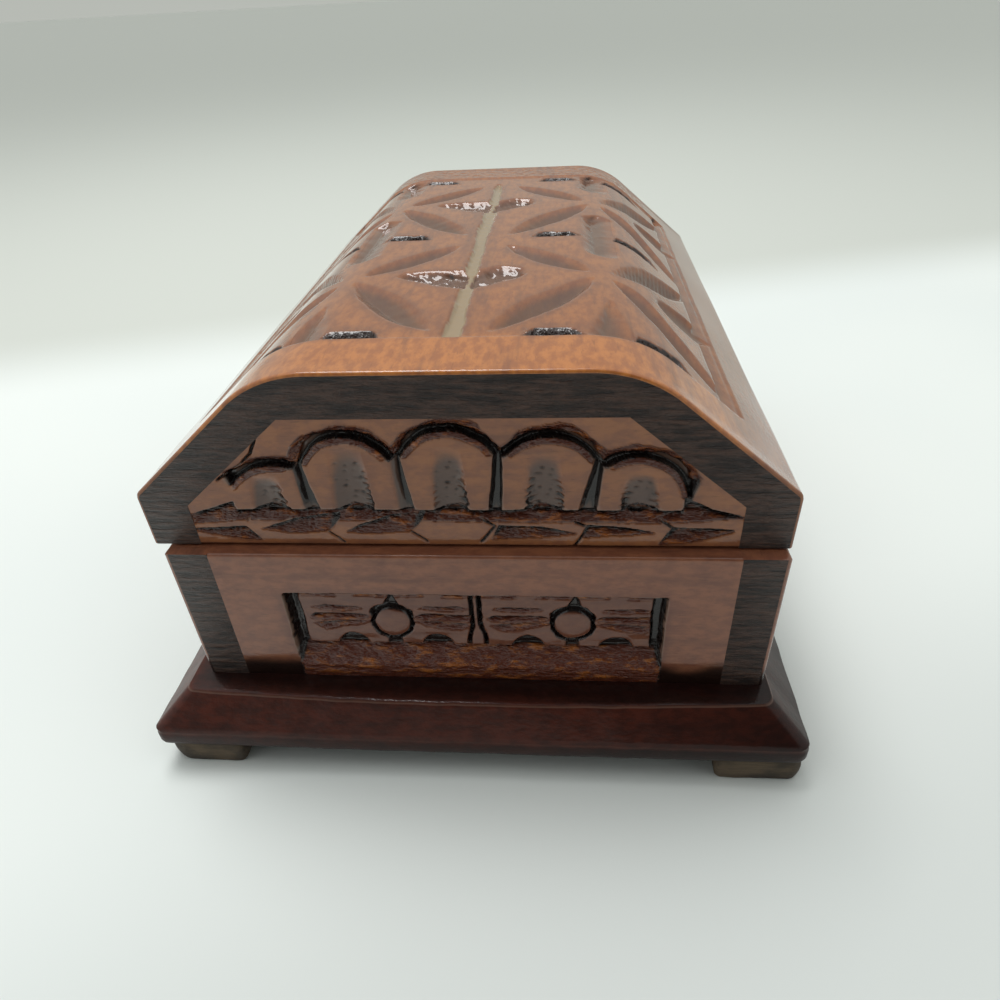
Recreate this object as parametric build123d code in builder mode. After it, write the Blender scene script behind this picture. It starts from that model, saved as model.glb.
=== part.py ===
from build123d import *
import math
import os

os.makedirs("parts", exist_ok=True)

# A wooden keepsake box with a domed, hinged lid, a plain body of four boards and a bevelled base on four feet.
# Millimetres. X runs along the box, -Y is the side that opens, +Y carries the hinges, Z = 0 is the table.

# Lid
lid_length = 200.0
lid_width = 152.0
lid_height = 45.0
lid_side_height = 14.4
lid_slope_run = 35.8
lid_top_thickness = 10.8
lid_slope_thickness = 10.0
lid_rail_thickness = 12.0
lid_end_thickness = 12.0
lid_shoulder_radius = 30.0
lid_corner_radius = 2.5
lid_gap = 0.5

# Carving on the lid: a stem down the middle, and in each of two bays a diamond of long chips on every side of it.
# Places along the lid are from a bay's middle or a bay's end, and places across are walked over the lid's shoulder
# from its middle line.
bay_length = 78.0
bay_shift = 1.0
chip_depth = 2.1
chip_rise = 0.2
chip_wall_angle = 45.0
stem_width = 3.4
stem_depth = 1.2
stem_start = -68.0
stem_end = 82.0
stem_offset = 1.2
groove_width = 9.5
crown_grooves = (((3.0, 31.0), (38.0, 5.5)), ((-2.0, 30.0), (-27.0, 8.0)))
slope_grooves = (((3.0, 38.0), (38.0, 67.5)), ((-2.0, 38.0), (-29.0, 67.5)))
leaf_outline = ((-6.5, 3.6), (4.0, 3.6), (4.5, 12.0), (-0.5, 19.5), (-6.5, 13.0))
half_leaf_outline = ((-6.5, 64.5), (-5.5, 57.5), (0.5, 51.5), (6.5, 57.5), (7.5, 64.5))
pocket_along = (-4.2, 1.4)
crown_pocket_across = (16.0, 28.5)
slope_pocket_across = (43.5, 56.0)
tongue_across = (30.5, 39.0)
tongue_turn = 12.0
tongue_spans = ((-1, -4.0, 21.0), (0, -23.0, 21.0), (1, -23.0, 3.0))

# Body
body_height = 42.0
body_wall = 11.0
body_end_reveal = 3.5
lid_front_overhang = 3.5
lid_back_overhang = 0.5
body_corner_radius = 1.2

# Sunk panel on each outer face of the body
panel_side_margin = 26.8
panel_top_margin = 12.5
panel_bottom_margin = 4.6
panel_depth = 4.0
panel_ledge = 4.5

# Base plate
base_thickness = 15.0
base_end_margin = 13.0
base_side_margin = 10.3
base_bevel_drop = 9.7
base_bevel_end_run = 5.4
base_bevel_side_run = 8.8
base_corner_radius = 2.5

# Feet
foot_size = 22.5
foot_height = 8.0
foot_inset = 0.5
foot_corner_radius = 8.0
foot_ease = 1.2

# Butt hinges
hinge_end_margin = 43.5
hinge_length = 28.0
hinge_leaf_width = 9.5
hinge_leaf_thickness = 1.0
hinge_leaf_gap = 0.2
hinge_barrel_radius = 2.0
hinge_barrel_clearance = 0.3
hinge_pin_radius = 0.95
hinge_pin_head_radius = 1.4
hinge_pin_head = 0.6
hinge_knuckles = 5
hinge_knuckle_gap = 0.15
hinge_running_clearance = 0.05
hinge_pin_seat_clearance = 0.02
hinge_mortise_clearance = 0.1
hinge_screw_spacing = 16.0
hinge_screw_inset = 5.0
hinge_screw_radius = 0.9
hinge_screw_head_radius = 1.7
hinge_screw_length = 8.0

# Base screws, one row of three into each long board of the body
base_screw_end_margin = 23.5
base_screw_rows = 3
base_screw_radius = 1.75
base_screw_head_radius = 3.6
base_screw_bite = 16.0

# One nail up through each foot into the base plate
nail_radius = 0.8
nail_head_radius = 1.8
nail_head = 0.8
nail_set = 0.5
nail_bite = 11.0

# Shared small sizes
edge_ease = 0.8
fastener_clearance = 0.05
countersink_angle = 90.0
screw_slot_width = 0.7
screw_slot_depth = 0.5

# Levels from the table up
base_bottom = foot_height
base_top = base_bottom + base_thickness
rim_level = base_top + body_height
lid_bottom = rim_level + lid_gap
lid_top = lid_bottom + lid_height

# Places across and along the box
lid_back = lid_width / 2
lid_inner = lid_back - lid_rail_thickness
lid_crown = lid_back - lid_slope_run
body_front = -(lid_back - lid_front_overhang)
body_back = lid_back - lid_back_overhang
body_middle = (body_front + body_back) / 2
body_width = body_back - body_front
body_length = lid_length + 2 * body_end_reveal
body_end = body_length / 2
base_screw_span = body_width - panel_depth - body_wall
base_screw_spacing = (body_length - 2 * base_screw_end_margin) / (base_screw_rows - 1)
base_length = body_length + 2 * base_end_margin
base_width = lid_width + 2 * base_side_margin
foot_x = base_length / 2 - foot_inset - foot_size / 2
foot_y = base_width / 2 - foot_inset - foot_size / 2

# Lid section: where the inner faces of the boards meet
slope_angle = math.atan2(lid_height - lid_side_height, lid_slope_run)
slope_offset = (
    lid_back * math.sin(slope_angle) + lid_side_height * math.cos(slope_angle) - lid_slope_thickness
)
crown_inner_z = lid_height - lid_top_thickness
crown_inner_y = (slope_offset - crown_inner_z * math.cos(slope_angle)) / math.sin(slope_angle)
rail_inner_z = (slope_offset - lid_inner * math.sin(slope_angle)) / math.cos(slope_angle)

# Places across the carving, walked from the lid's middle line
crown_flat = lid_crown - lid_shoulder_radius * math.tan(slope_angle / 2)
bay_middles = (bay_shift - bay_length / 2, bay_shift + bay_length / 2)

# Hinge places
hinge_spacing = body_length - 2 * hinge_end_margin
hinge_level = rim_level + lid_gap / 2
hinge_axis_y = lid_back + hinge_barrel_clearance + hinge_barrel_radius
hinge_leaf_inner_y = lid_back - hinge_leaf_width
hinge_screw_y = lid_back - hinge_screw_inset
lid_leaf_face = hinge_level + hinge_leaf_gap / 2
body_leaf_face = hinge_level - hinge_leaf_gap / 2
hinge_centres = (-hinge_spacing / 2, hinge_spacing / 2)
hinge_screw_offsets = (-hinge_screw_spacing / 2, hinge_screw_spacing / 2)
hinge_screw_columns = [centre + offset for centre in hinge_centres for offset in hinge_screw_offsets]
knuckle_length = hinge_length / hinge_knuckles

from_below = (180, 0, 0)
on_floor = (Align.CENTER, Align.CENTER, Align.MIN)


def wood_screw(radius, head_radius, length):
    """A slotted countersunk screw that stands on its head's flat face and points along local +Z."""
    head_depth = (head_radius - radius) / math.tan(math.radians(countersink_angle / 2))
    Cylinder(radius, length, align=on_floor)
    Cone(head_radius, radius, head_depth, align=on_floor)
    Box(2 * head_radius, screw_slot_width, screw_slot_depth, align=on_floor, mode=Mode.SUBTRACT)


def lid_plane(side, turn):
    """A plane just above the lid's rounded shoulder, level with it where it has turned by an angle."""
    across = crown_flat + (lid_shoulder_radius + chip_rise) * math.sin(turn)
    level = lid_top - lid_shoulder_radius + (lid_shoulder_radius + chip_rise) * math.cos(turn)
    return Plane(
        origin=(0, side * across, level),
        x_dir=(1, 0, 0),
        z_dir=(0, side * math.sin(turn), math.cos(turn)),
    )


def on_lid_plane(side, turn, start, outline):
    """An outline of places along and across the carving, as points on that plane."""
    reach = crown_flat + lid_shoulder_radius * turn
    return [(start + along, side * (across - reach)) for along, across in outline]


def groove_outline(start, end):
    """Corners of a long chip that is pointed at both ends and widest in its middle."""
    run = (end[0] - start[0], end[1] - start[1])
    share = groove_width / 2 / math.hypot(*run)
    middle = ((start[0] + end[0]) / 2, (start[1] + end[1]) / 2)
    return [
        start,
        (middle[0] - run[1] * share, middle[1] + run[0] * share),
        end,
        (middle[0] + run[1] * share, middle[1] - run[0] * share),
    ]


def span_outline(along, across):
    """Corners of a chip between two places along and two across."""
    return [(along[0], across[0]), (along[1], across[0]), (along[1], across[1]), (along[0], across[1])]


# --- Lid ---------------------------------------------------------------------------------------------------

# The lid's outer shape with its planed shoulders and eased ends, which trims every board of the lid
lid_outline = [
    (-lid_back, lid_bottom),
    (-lid_back, lid_bottom + lid_side_height),
    (-lid_crown, lid_top),
    (lid_crown, lid_top),
    (lid_back, lid_bottom + lid_side_height),
    (lid_back, lid_bottom),
]
with BuildPart() as lid_shape:
    with BuildSketch(Plane.YZ) as lid_profile:
        Polygon(*lid_outline, align=None)
        shoulders = lid_profile.vertices().group_by(Axis.Y)[-1]
        fillet(shoulders, radius=lid_shoulder_radius)
        side_corners = lid_profile.vertices().filter_by_position(
            Axis.Y, lid_bottom + lid_side_height - edge_ease, lid_bottom + lid_side_height + edge_ease
        )
        fillet(side_corners, radius=lid_corner_radius)
    extrude(amount=lid_length / 2, both=True)
    lid_end_faces = lid_shape.faces().filter_by(Axis.X)
    fillet(lid_end_faces.edges(), radius=edge_ease)

lid_top_section = [
    (-lid_crown, lid_top),
    (lid_crown, lid_top),
    (crown_inner_y, lid_bottom + crown_inner_z),
    (-crown_inner_y, lid_bottom + crown_inner_z),
]
with BuildPart() as lid_top_board:
    with BuildSketch(Plane.YZ):
        Polygon(*lid_top_section, align=None)
    extrude(amount=lid_length / 2, both=True)
    add(lid_shape.part, mode=Mode.INTERSECT)
    # The stem, then the grooves, leaves and pockets beside it
    with BuildSketch(Plane.XY.offset(lid_top)):
        with Locations(((stem_start + stem_end) / 2, -stem_offset)):
            Rectangle(stem_end - stem_start, stem_width)
    extrude(amount=-stem_depth, mode=Mode.SUBTRACT)
    for side in (-1, 1):
        with BuildSketch(lid_plane(side, 0)):
            for start in bay_middles:
                for groove_start, groove_end in crown_grooves:
                    Polygon(*on_lid_plane(side, 0, start, groove_outline(groove_start, groove_end)), align=None)
                Polygon(*on_lid_plane(side, 0, start, leaf_outline), align=None)
            for bay in (-1, 0, 1):
                pocket = span_outline(pocket_along, crown_pocket_across)
                Polygon(*on_lid_plane(side, 0, bay_shift + bay * bay_length, pocket), align=None)
        extrude(amount=-chip_rise - chip_depth, taper=chip_wall_angle, mode=Mode.SUBTRACT)
        # Long tongues on the shoulder, one at each end of a bay
        turn = math.radians(tongue_turn)
        with BuildSketch(lid_plane(side, turn)):
            for bay, first, last in tongue_spans:
                tongue = span_outline((first, last), tongue_across)
                Polygon(*on_lid_plane(side, turn, bay_shift + bay * bay_length, tongue), align=None)
        extrude(amount=-chip_rise - chip_depth, taper=chip_wall_angle, mode=Mode.SUBTRACT)
lid_top_board.part.label = "lid_top_board"
export_step(lid_top_board.part, "parts/lid_top_board.step")

for side, side_name in ((-1, "front"), (1, "back")):
    slope_section = [
        (side * lid_crown, lid_top),
        (side * lid_back, lid_bottom + lid_side_height),
        (side * lid_inner, lid_bottom + rail_inner_z),
        (side * crown_inner_y, lid_bottom + crown_inner_z),
    ]
    with BuildPart() as slope_board:
        with BuildSketch(Plane.YZ):
            Polygon(*slope_section, align=None)
        extrude(amount=lid_length / 2, both=True)
        add(lid_shape.part, mode=Mode.INTERSECT)
        # Grooves, half leaves and pockets
        with BuildSketch(lid_plane(side, slope_angle)):
            for start in bay_middles:
                for groove_start, groove_end in slope_grooves:
                    groove = groove_outline(groove_start, groove_end)
                    Polygon(*on_lid_plane(side, slope_angle, start, groove), align=None)
                Polygon(*on_lid_plane(side, slope_angle, start, half_leaf_outline), align=None)
            for bay in (-1, 0, 1):
                pocket = span_outline(pocket_along, slope_pocket_across)
                Polygon(*on_lid_plane(side, slope_angle, bay_shift + bay * bay_length, pocket), align=None)
        extrude(amount=-chip_rise - chip_depth, taper=chip_wall_angle, mode=Mode.SUBTRACT)
    slope_board.part.label = f"lid_{side_name}_slope_board"
    export_step(slope_board.part, f"parts/{slope_board.part.label}.step")

    rail_section = [
        (side * lid_back, lid_bottom + lid_side_height),
        (side * lid_back, lid_bottom),
        (side * lid_inner, lid_bottom),
        (side * lid_inner, lid_bottom + rail_inner_z),
    ]
    with BuildPart() as rail:
        with BuildSketch(Plane.YZ):
            Polygon(*rail_section, align=None)
        extrude(amount=lid_length / 2, both=True)
        add(lid_shape.part, mode=Mode.INTERSECT)
        if side_name == "back":
            # A shallow mortise for each hinge's lid leaf, and pilot holes for its screws
            with BuildSketch(Plane.XY.offset(lid_bottom)):
                for centre in hinge_centres:
                    with Locations((centre, (hinge_leaf_inner_y - hinge_mortise_clearance + lid_back) / 2)):
                        Rectangle(
                            hinge_length + 2 * hinge_mortise_clearance,
                            hinge_leaf_width + hinge_mortise_clearance,
                        )
            extrude(amount=lid_leaf_face + hinge_leaf_thickness - lid_bottom, mode=Mode.SUBTRACT)
            for column in hinge_screw_columns:
                with Locations(Location((column, hinge_screw_y, lid_leaf_face), from_below)):
                    Hole(
                        radius=hinge_screw_radius + fastener_clearance,
                        depth=hinge_screw_length + fastener_clearance,
                    )
    rail.part.label = f"lid_{side_name}_rail"
    export_step(rail.part, f"parts/{rail.part.label}.step")

# The end boards close the lid between the long boards, flush with their end grain
lid_end_section = [
    (-lid_inner, lid_bottom),
    (-lid_inner, lid_bottom + rail_inner_z),
    (-crown_inner_y, lid_bottom + crown_inner_z),
    (crown_inner_y, lid_bottom + crown_inner_z),
    (lid_inner, lid_bottom + rail_inner_z),
    (lid_inner, lid_bottom),
]
for end, end_name in ((-1, "left"), (1, "right")):
    with BuildPart() as lid_end_board:
        with BuildSketch(Plane.YZ.offset(end * lid_length / 2)):
            Polygon(*lid_end_section, align=None)
        extrude(amount=-end * lid_end_thickness)
        add(lid_shape.part, mode=Mode.INTERSECT)
    lid_end_board.part.label = f"lid_{end_name}_end_board"
    export_step(lid_end_board.part, f"parts/{lid_end_board.part.label}.step")

# --- Body --------------------------------------------------------------------------------------------------

# The body's outer shape with its eased corners and rim, which trims the four boards
with BuildPart() as body_shape:
    with BuildSketch(Plane.XY.offset(base_top)) as body_plan:
        with Locations((0, body_middle)):
            Rectangle(body_length, body_width)
        fillet(body_plan.vertices(), radius=body_corner_radius)
    extrude(amount=body_height)
    fillet(body_shape.faces().sort_by(Axis.Z)[-1].edges(), radius=edge_ease)

# Depth and height of the sunk panel, with a sloping ledge along its foot
panel_top = rim_level - panel_top_margin
panel_bottom = base_top + panel_bottom_margin

for side, side_name, face_y in ((-1, "front", body_front), (1, "back", body_back)):
    panel_section = [
        (face_y, panel_top),
        (face_y - side * panel_depth, panel_top),
        (face_y - side * panel_depth, panel_bottom + panel_ledge),
        (face_y, panel_bottom),
    ]
    with BuildPart() as side_board:
        with BuildSketch(Plane.XY.offset(base_top)):
            with Locations((0, face_y - side * body_wall / 2)):
                Rectangle(body_length, body_wall)
        extrude(amount=body_height)
        add(body_shape.part, mode=Mode.INTERSECT)
        with BuildSketch(Plane.YZ):
            Polygon(*panel_section, align=None)
        extrude(amount=body_end - panel_side_margin, both=True, mode=Mode.SUBTRACT)
        with Locations(Location((0, side * base_screw_span / 2 + body_middle, base_top), from_below)):
            with GridLocations(base_screw_spacing, base_screw_span, base_screw_rows, 1):
                Hole(
                    radius=base_screw_radius + fastener_clearance,
                    depth=base_screw_bite + fastener_clearance,
                )
        if side_name == "back":
            # A shallow mortise for each hinge's body leaf, and pilot holes for its screws
            with BuildSketch(Plane.XY.offset(rim_level)):
                for centre in hinge_centres:
                    with Locations((centre, (hinge_leaf_inner_y - hinge_mortise_clearance + lid_back) / 2)):
                        Rectangle(
                            hinge_length + 2 * hinge_mortise_clearance,
                            hinge_leaf_width + hinge_mortise_clearance,
                        )
            extrude(amount=body_leaf_face - hinge_leaf_thickness - rim_level, mode=Mode.SUBTRACT)
            for column in hinge_screw_columns:
                with Locations((column, hinge_screw_y, body_leaf_face)):
                    Hole(
                        radius=hinge_screw_radius + fastener_clearance,
                        depth=hinge_screw_length + fastener_clearance,
                    )
    side_board.part.label = f"body_{side_name}_board"
    export_step(side_board.part, f"parts/{side_board.part.label}.step")

for end, end_name in ((-1, "left"), (1, "right")):
    panel_section = [
        (end * body_end, panel_top),
        (end * (body_end - panel_depth), panel_top),
        (end * (body_end - panel_depth), panel_bottom + panel_ledge),
        (end * body_end, panel_bottom),
    ]
    with BuildPart() as body_end_board:
        with BuildSketch(Plane.XY.offset(base_top)):
            with Locations((end * (body_end - body_wall / 2), body_middle)):
                Rectangle(body_wall, body_width - 2 * body_wall)
        extrude(amount=body_height)
        add(body_shape.part, mode=Mode.INTERSECT)
        with BuildSketch(Plane.XZ.offset(-body_middle)):
            Polygon(*panel_section, align=None)
        extrude(amount=body_width / 2 - panel_side_margin, both=True, mode=Mode.SUBTRACT)
    body_end_board.part.label = f"body_{end_name}_end_board"
    export_step(body_end_board.part, f"parts/{body_end_board.part.label}.step")

# --- Base plate and feet -----------------------------------------------------------------------------------

# Two crossing sections give the plate its bevels, which meet in a mitre at the corners
base_long_section = [
    (-base_length / 2, base_bottom),
    (base_length / 2, base_bottom),
    (base_length / 2, base_top - base_bevel_drop),
    (base_length / 2 - base_bevel_end_run, base_top),
    (-(base_length / 2 - base_bevel_end_run), base_top),
    (-base_length / 2, base_top - base_bevel_drop),
]
base_cross_section = [
    (-base_width / 2, base_bottom),
    (base_width / 2, base_bottom),
    (base_width / 2, base_top - base_bevel_drop),
    (base_width / 2 - base_bevel_side_run, base_top),
    (-(base_width / 2 - base_bevel_side_run), base_top),
    (-base_width / 2, base_top - base_bevel_drop),
]
with BuildPart() as base_plate:
    with BuildSketch(Plane.XZ):
        Polygon(*base_long_section, align=None)
    extrude(amount=base_width / 2, both=True)
    with BuildSketch(Plane.YZ):
        Polygon(*base_cross_section, align=None)
    extrude(amount=base_length / 2, both=True, mode=Mode.INTERSECT)
    fillet(base_plate.edges().filter_by(Axis.Z), radius=base_corner_radius)
    with Locations(Location((0, body_middle, base_bottom), from_below)):
        with GridLocations(base_screw_spacing, base_screw_span, base_screw_rows, 2):
            CounterSinkHole(
                radius=base_screw_radius + fastener_clearance,
                counter_sink_radius=base_screw_head_radius + fastener_clearance,
                counter_sink_angle=countersink_angle,
            )
    with Locations(Location((0, 0, base_bottom), from_below)):
        with GridLocations(2 * foot_x, 2 * foot_y, 2, 2):
            Hole(radius=nail_radius + fastener_clearance, depth=nail_bite + fastener_clearance)
base_plate.part.label = "base_plate"
export_step(base_plate.part, "parts/base_plate.step")

with BuildPart() as base_screws:
    with Locations((0, body_middle, base_bottom)):
        with GridLocations(base_screw_spacing, base_screw_span, base_screw_rows, 2):
            wood_screw(base_screw_radius, base_screw_head_radius, base_thickness + base_screw_bite)
base_screws.part.label = "base_screws"
export_step(base_screws.part, "parts/base_screws.step")

for side, side_name in ((-1, "front"), (1, "back")):
    for end, end_name in ((-1, "left"), (1, "right")):
        with BuildPart() as foot:
            with BuildSketch() as foot_plan:
                with Locations((end * foot_x, side * foot_y)):
                    Rectangle(foot_size, foot_size)
                outer_corner = foot_plan.vertices().sort_by(Axis((0, 0, 0), (end, side, 0)))[-1]
                fillet(outer_corner, radius=foot_corner_radius)
            extrude(amount=foot_height)
            chamfer(foot.faces().sort_by(Axis.Z)[0].edges(), length=foot_ease)
            with Locations(Location((end * foot_x, side * foot_y, 0), from_below)):
                CounterBoreHole(
                    radius=nail_radius + fastener_clearance,
                    counter_bore_radius=nail_head_radius + fastener_clearance,
                    counter_bore_depth=nail_set + nail_head,
                )
        foot.part.label = f"foot_{side_name}_{end_name}"
        export_step(foot.part, f"parts/{foot.part.label}.step")

with BuildPart() as foot_nails:
    with Locations((0, 0, nail_set)):
        with GridLocations(2 * foot_x, 2 * foot_y, 2, 2):
            Cylinder(nail_radius, foot_height - nail_set + nail_bite, align=on_floor)
            Cylinder(nail_head_radius, nail_head, align=on_floor)
foot_nails.part.label = "foot_nails"
export_step(foot_nails.part, "parts/foot_nails.step")

# --- Hinges ------------------------------------------------------------------------------------------------

# Each leaf is a flat plate sunk in the wood behind a barrel of knuckles that alternate between the leaves
leaf_plate_back = hinge_axis_y - hinge_barrel_radius - hinge_barrel_clearance
pin_length = hinge_length + 2 * hinge_pin_head

for centre, end_name in zip(hinge_centres, ("left", "right")):
    first_knuckle = centre - hinge_length / 2 + knuckle_length / 2
    for leaf_name, leaf_face, thickness, first, bore_clearance in (
        ("body", body_leaf_face, -hinge_leaf_thickness, 0, hinge_pin_seat_clearance),
        ("lid", lid_leaf_face, hinge_leaf_thickness, 1, hinge_running_clearance),
    ):
        with BuildPart() as leaf:
            with BuildSketch(Plane.XY.offset(leaf_face)):
                with Locations((centre, (hinge_leaf_inner_y + leaf_plate_back) / 2)):
                    Rectangle(hinge_length, leaf_plate_back - hinge_leaf_inner_y)
                for knuckle in range(first, hinge_knuckles, 2):
                    with Locations((first_knuckle + knuckle * knuckle_length, (leaf_plate_back + hinge_axis_y) / 2)):
                        Rectangle(knuckle_length - hinge_knuckle_gap, hinge_axis_y - leaf_plate_back)
            extrude(amount=thickness)
            for knuckle in range(first, hinge_knuckles, 2):
                with BuildSketch(Plane.YZ.offset(first_knuckle + knuckle * knuckle_length)):
                    with Locations((hinge_axis_y, hinge_level)):
                        Circle(hinge_barrel_radius)
                extrude(amount=(knuckle_length - hinge_knuckle_gap) / 2, both=True)
            with BuildSketch(Plane.YZ.offset(centre)):
                with Locations((hinge_axis_y, hinge_level)):
                    Circle(hinge_pin_radius + bore_clearance)
            extrude(amount=hinge_length, both=True, mode=Mode.SUBTRACT)
            turn = from_below if leaf_name == "lid" else (0, 0, 0)
            for offset in hinge_screw_offsets:
                with Locations(Location((centre + offset, hinge_screw_y, leaf_face), turn)):
                    CounterSinkHole(
                        radius=hinge_screw_radius + fastener_clearance,
                        counter_sink_radius=hinge_screw_head_radius + fastener_clearance,
                        counter_sink_angle=countersink_angle,
                    )
        leaf.part.label = f"hinge_{end_name}_{leaf_name}_leaf"
        export_step(leaf.part, f"parts/{leaf.part.label}.step")

    with BuildPart() as pin:
        with BuildSketch(Plane.YZ.offset(centre)):
            with Locations((hinge_axis_y, hinge_level)):
                Circle(hinge_pin_radius)
        extrude(amount=pin_length / 2, both=True)
        for end in (-1, 1):
            with BuildSketch(Plane.YZ.offset(centre + end * hinge_length / 2)):
                with Locations((hinge_axis_y, hinge_level)):
                    Circle(hinge_pin_head_radius)
            extrude(amount=end * hinge_pin_head)
    pin.part.label = f"hinge_{end_name}_pin"
    export_step(pin.part, f"parts/{pin.part.label}.step")

with BuildPart() as lid_hinge_screws:
    for column in hinge_screw_columns:
        with Locations((column, hinge_screw_y, lid_leaf_face)):
            wood_screw(hinge_screw_radius, hinge_screw_head_radius, hinge_screw_length)
lid_hinge_screws.part.label = "lid_hinge_screws"
export_step(lid_hinge_screws.part, "parts/lid_hinge_screws.step")

with BuildPart() as body_hinge_screws:
    for column in hinge_screw_columns:
        with Locations(Location((column, hinge_screw_y, body_leaf_face), from_below)):
            wood_screw(hinge_screw_radius, hinge_screw_head_radius, hinge_screw_length)
body_hinge_screws.part.label = "body_hinge_screws"
export_step(body_hinge_screws.part, "parts/body_hinge_screws.step")
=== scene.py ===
import math

import bpy
import numpy as np
from mathutils import Matrix, Vector


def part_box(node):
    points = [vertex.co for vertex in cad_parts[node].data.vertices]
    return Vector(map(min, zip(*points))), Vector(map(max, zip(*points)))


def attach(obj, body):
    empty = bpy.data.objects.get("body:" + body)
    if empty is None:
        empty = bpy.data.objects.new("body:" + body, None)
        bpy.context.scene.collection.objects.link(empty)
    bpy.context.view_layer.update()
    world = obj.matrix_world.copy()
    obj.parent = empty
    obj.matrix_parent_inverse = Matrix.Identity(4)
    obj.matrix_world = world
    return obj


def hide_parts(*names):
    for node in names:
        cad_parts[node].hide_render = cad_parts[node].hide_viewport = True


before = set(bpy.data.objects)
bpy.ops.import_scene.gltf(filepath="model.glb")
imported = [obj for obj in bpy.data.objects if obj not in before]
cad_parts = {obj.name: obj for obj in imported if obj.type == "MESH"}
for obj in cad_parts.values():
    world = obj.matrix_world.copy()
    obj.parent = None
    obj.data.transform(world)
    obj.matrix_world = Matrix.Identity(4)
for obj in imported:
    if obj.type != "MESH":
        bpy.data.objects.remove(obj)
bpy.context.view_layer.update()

# A keepsake box of carved, stained and varnished wood. The carving and every outline are worked out in
# millimetres in the frame of the model, and become metres where a mesh is made.

MM = 0.001


def node_box(name):
    """Lowest and highest corner of a CAD node, in millimetres."""
    low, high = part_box(name)
    return np.array(low) / MM, np.array(high) / MM


# --- Sizes, from the frame and from the lid's own section -------------------------------------------------

crown_low, crown_high = node_box("lid_top_board")
rail_low, rail_high = node_box("lid_back_rail")
body_front_low, body_front_high = node_box("body_front_board")
plate_low, plate_high = node_box("base_plate")

LID_END = crown_high[0]
LID_HALF = rail_high[1]
LID_BOTTOM = rail_low[2]
LID_CROWN = crown_high[2]
CROWN_INNER_LEVEL = crown_low[2]
RAIL_INNER = rail_low[1]
LID_END_THICKNESS = node_box("lid_right_end_board")[0][0]
SIDE_HEIGHT = 14.4
SLOPE_RUN = 35.8
SLOPE_THICKNESS = 10.0
SHOULDER_RADIUS = 30.0
CORNER_RADIUS = 2.5
EDGE_RADIUS = 0.8
EDGE_STEPS = 5

SLOPE = math.atan2(LID_CROWN - LID_BOTTOM - SIDE_HEIGHT, SLOPE_RUN)
SHOULDER_RUN = SHOULDER_RADIUS * math.tan(SLOPE / 2)
CORNER_TURN = math.pi / 2 - SLOPE
CORNER_RUN = CORNER_RADIUS * math.tan(CORNER_TURN / 2)
SLOPE_LENGTH = math.hypot(SLOPE_RUN, LID_CROWN - LID_BOTTOM - SIDE_HEIGHT)

# Arc lengths from the middle of the crown to where the section changes
CROWN_FLAT = LID_HALF - SLOPE_RUN - SHOULDER_RUN
SHOULDER_FOOT = CROWN_FLAT + SHOULDER_RADIUS * SLOPE
SLOPE_FOOT = SHOULDER_FOOT + SLOPE_LENGTH - SHOULDER_RUN - CORNER_RUN
CORNER_FOOT = SLOPE_FOOT + CORNER_RADIUS * CORNER_TURN
SIDE_FOOT = CORNER_FOOT + SIDE_HEIGHT - CORNER_RUN

# Inner corners of the lid's section, as (across, up)
SLOPE_OFFSET = LID_HALF * math.sin(SLOPE) + (LID_BOTTOM + SIDE_HEIGHT) * math.cos(SLOPE) - SLOPE_THICKNESS
CROWN_INNER = (SLOPE_OFFSET - CROWN_INNER_LEVEL * math.cos(SLOPE)) / math.sin(SLOPE)
RAIL_INNER_LEVEL = (SLOPE_OFFSET - RAIL_INNER * math.sin(SLOPE)) / math.cos(SLOPE)


# --- Helpers for shapes -----------------------------------------------------------------------------------

HARD_EDGE = math.radians(52)

# What a carved point is: planed face, gouged hollow, knife facet, a hollow that has gathered dust, or a pit
# where stain has pooled
FACE, HOLLOW, FACET, DUSTY, BLACKENED = 0, 1, 2, 3, 4


def ripple(a, b, size, seed):
    """Hand-made unevenness: eight sine waves of about the given size in random directions, between -1 and
    1."""
    rng = np.random.default_rng(seed)
    total = 0.0
    for _ in range(8):
        turn, phase = rng.uniform(0, 2 * np.pi, 2)
        length = size * rng.uniform(0.6, 1.6)
        total = total + np.sin(2 * np.pi * (a * np.cos(turn) + b * np.sin(turn)) / length + phase)
    return np.clip(total / 5.0, -1.0, 1.0)


def ramp(x, low, high):
    """0 below low, 1 above high, and straight between."""
    return np.clip((x - low) / (high - low), 0.0, 1.0)


def smooth(x, low, high):
    """0 below low, 1 above high, and an S-curve between."""
    t = ramp(x, low, high)
    return t * t * (3 - 2 * t)


def cut_in(ground, cut, kind):
    """Adds a cut to a ground of (depth, kind): where the cut is the deeper one, it takes over with its
    kind."""
    depth, kinds = ground
    deeper = cut > depth + 1e-4
    return np.where(deeper, cut, depth), np.where(deeper, kind, kinds)


def leaning_floor(side, lean):
    """Height profile across a cut from side -1 to 1: 0 at both edges and 1 at lean, straight between."""
    return np.clip(np.where(side < lean, (side + 1) / (lean + 1), (1 - side) / (1 - lean)), 0, 1)


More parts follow.
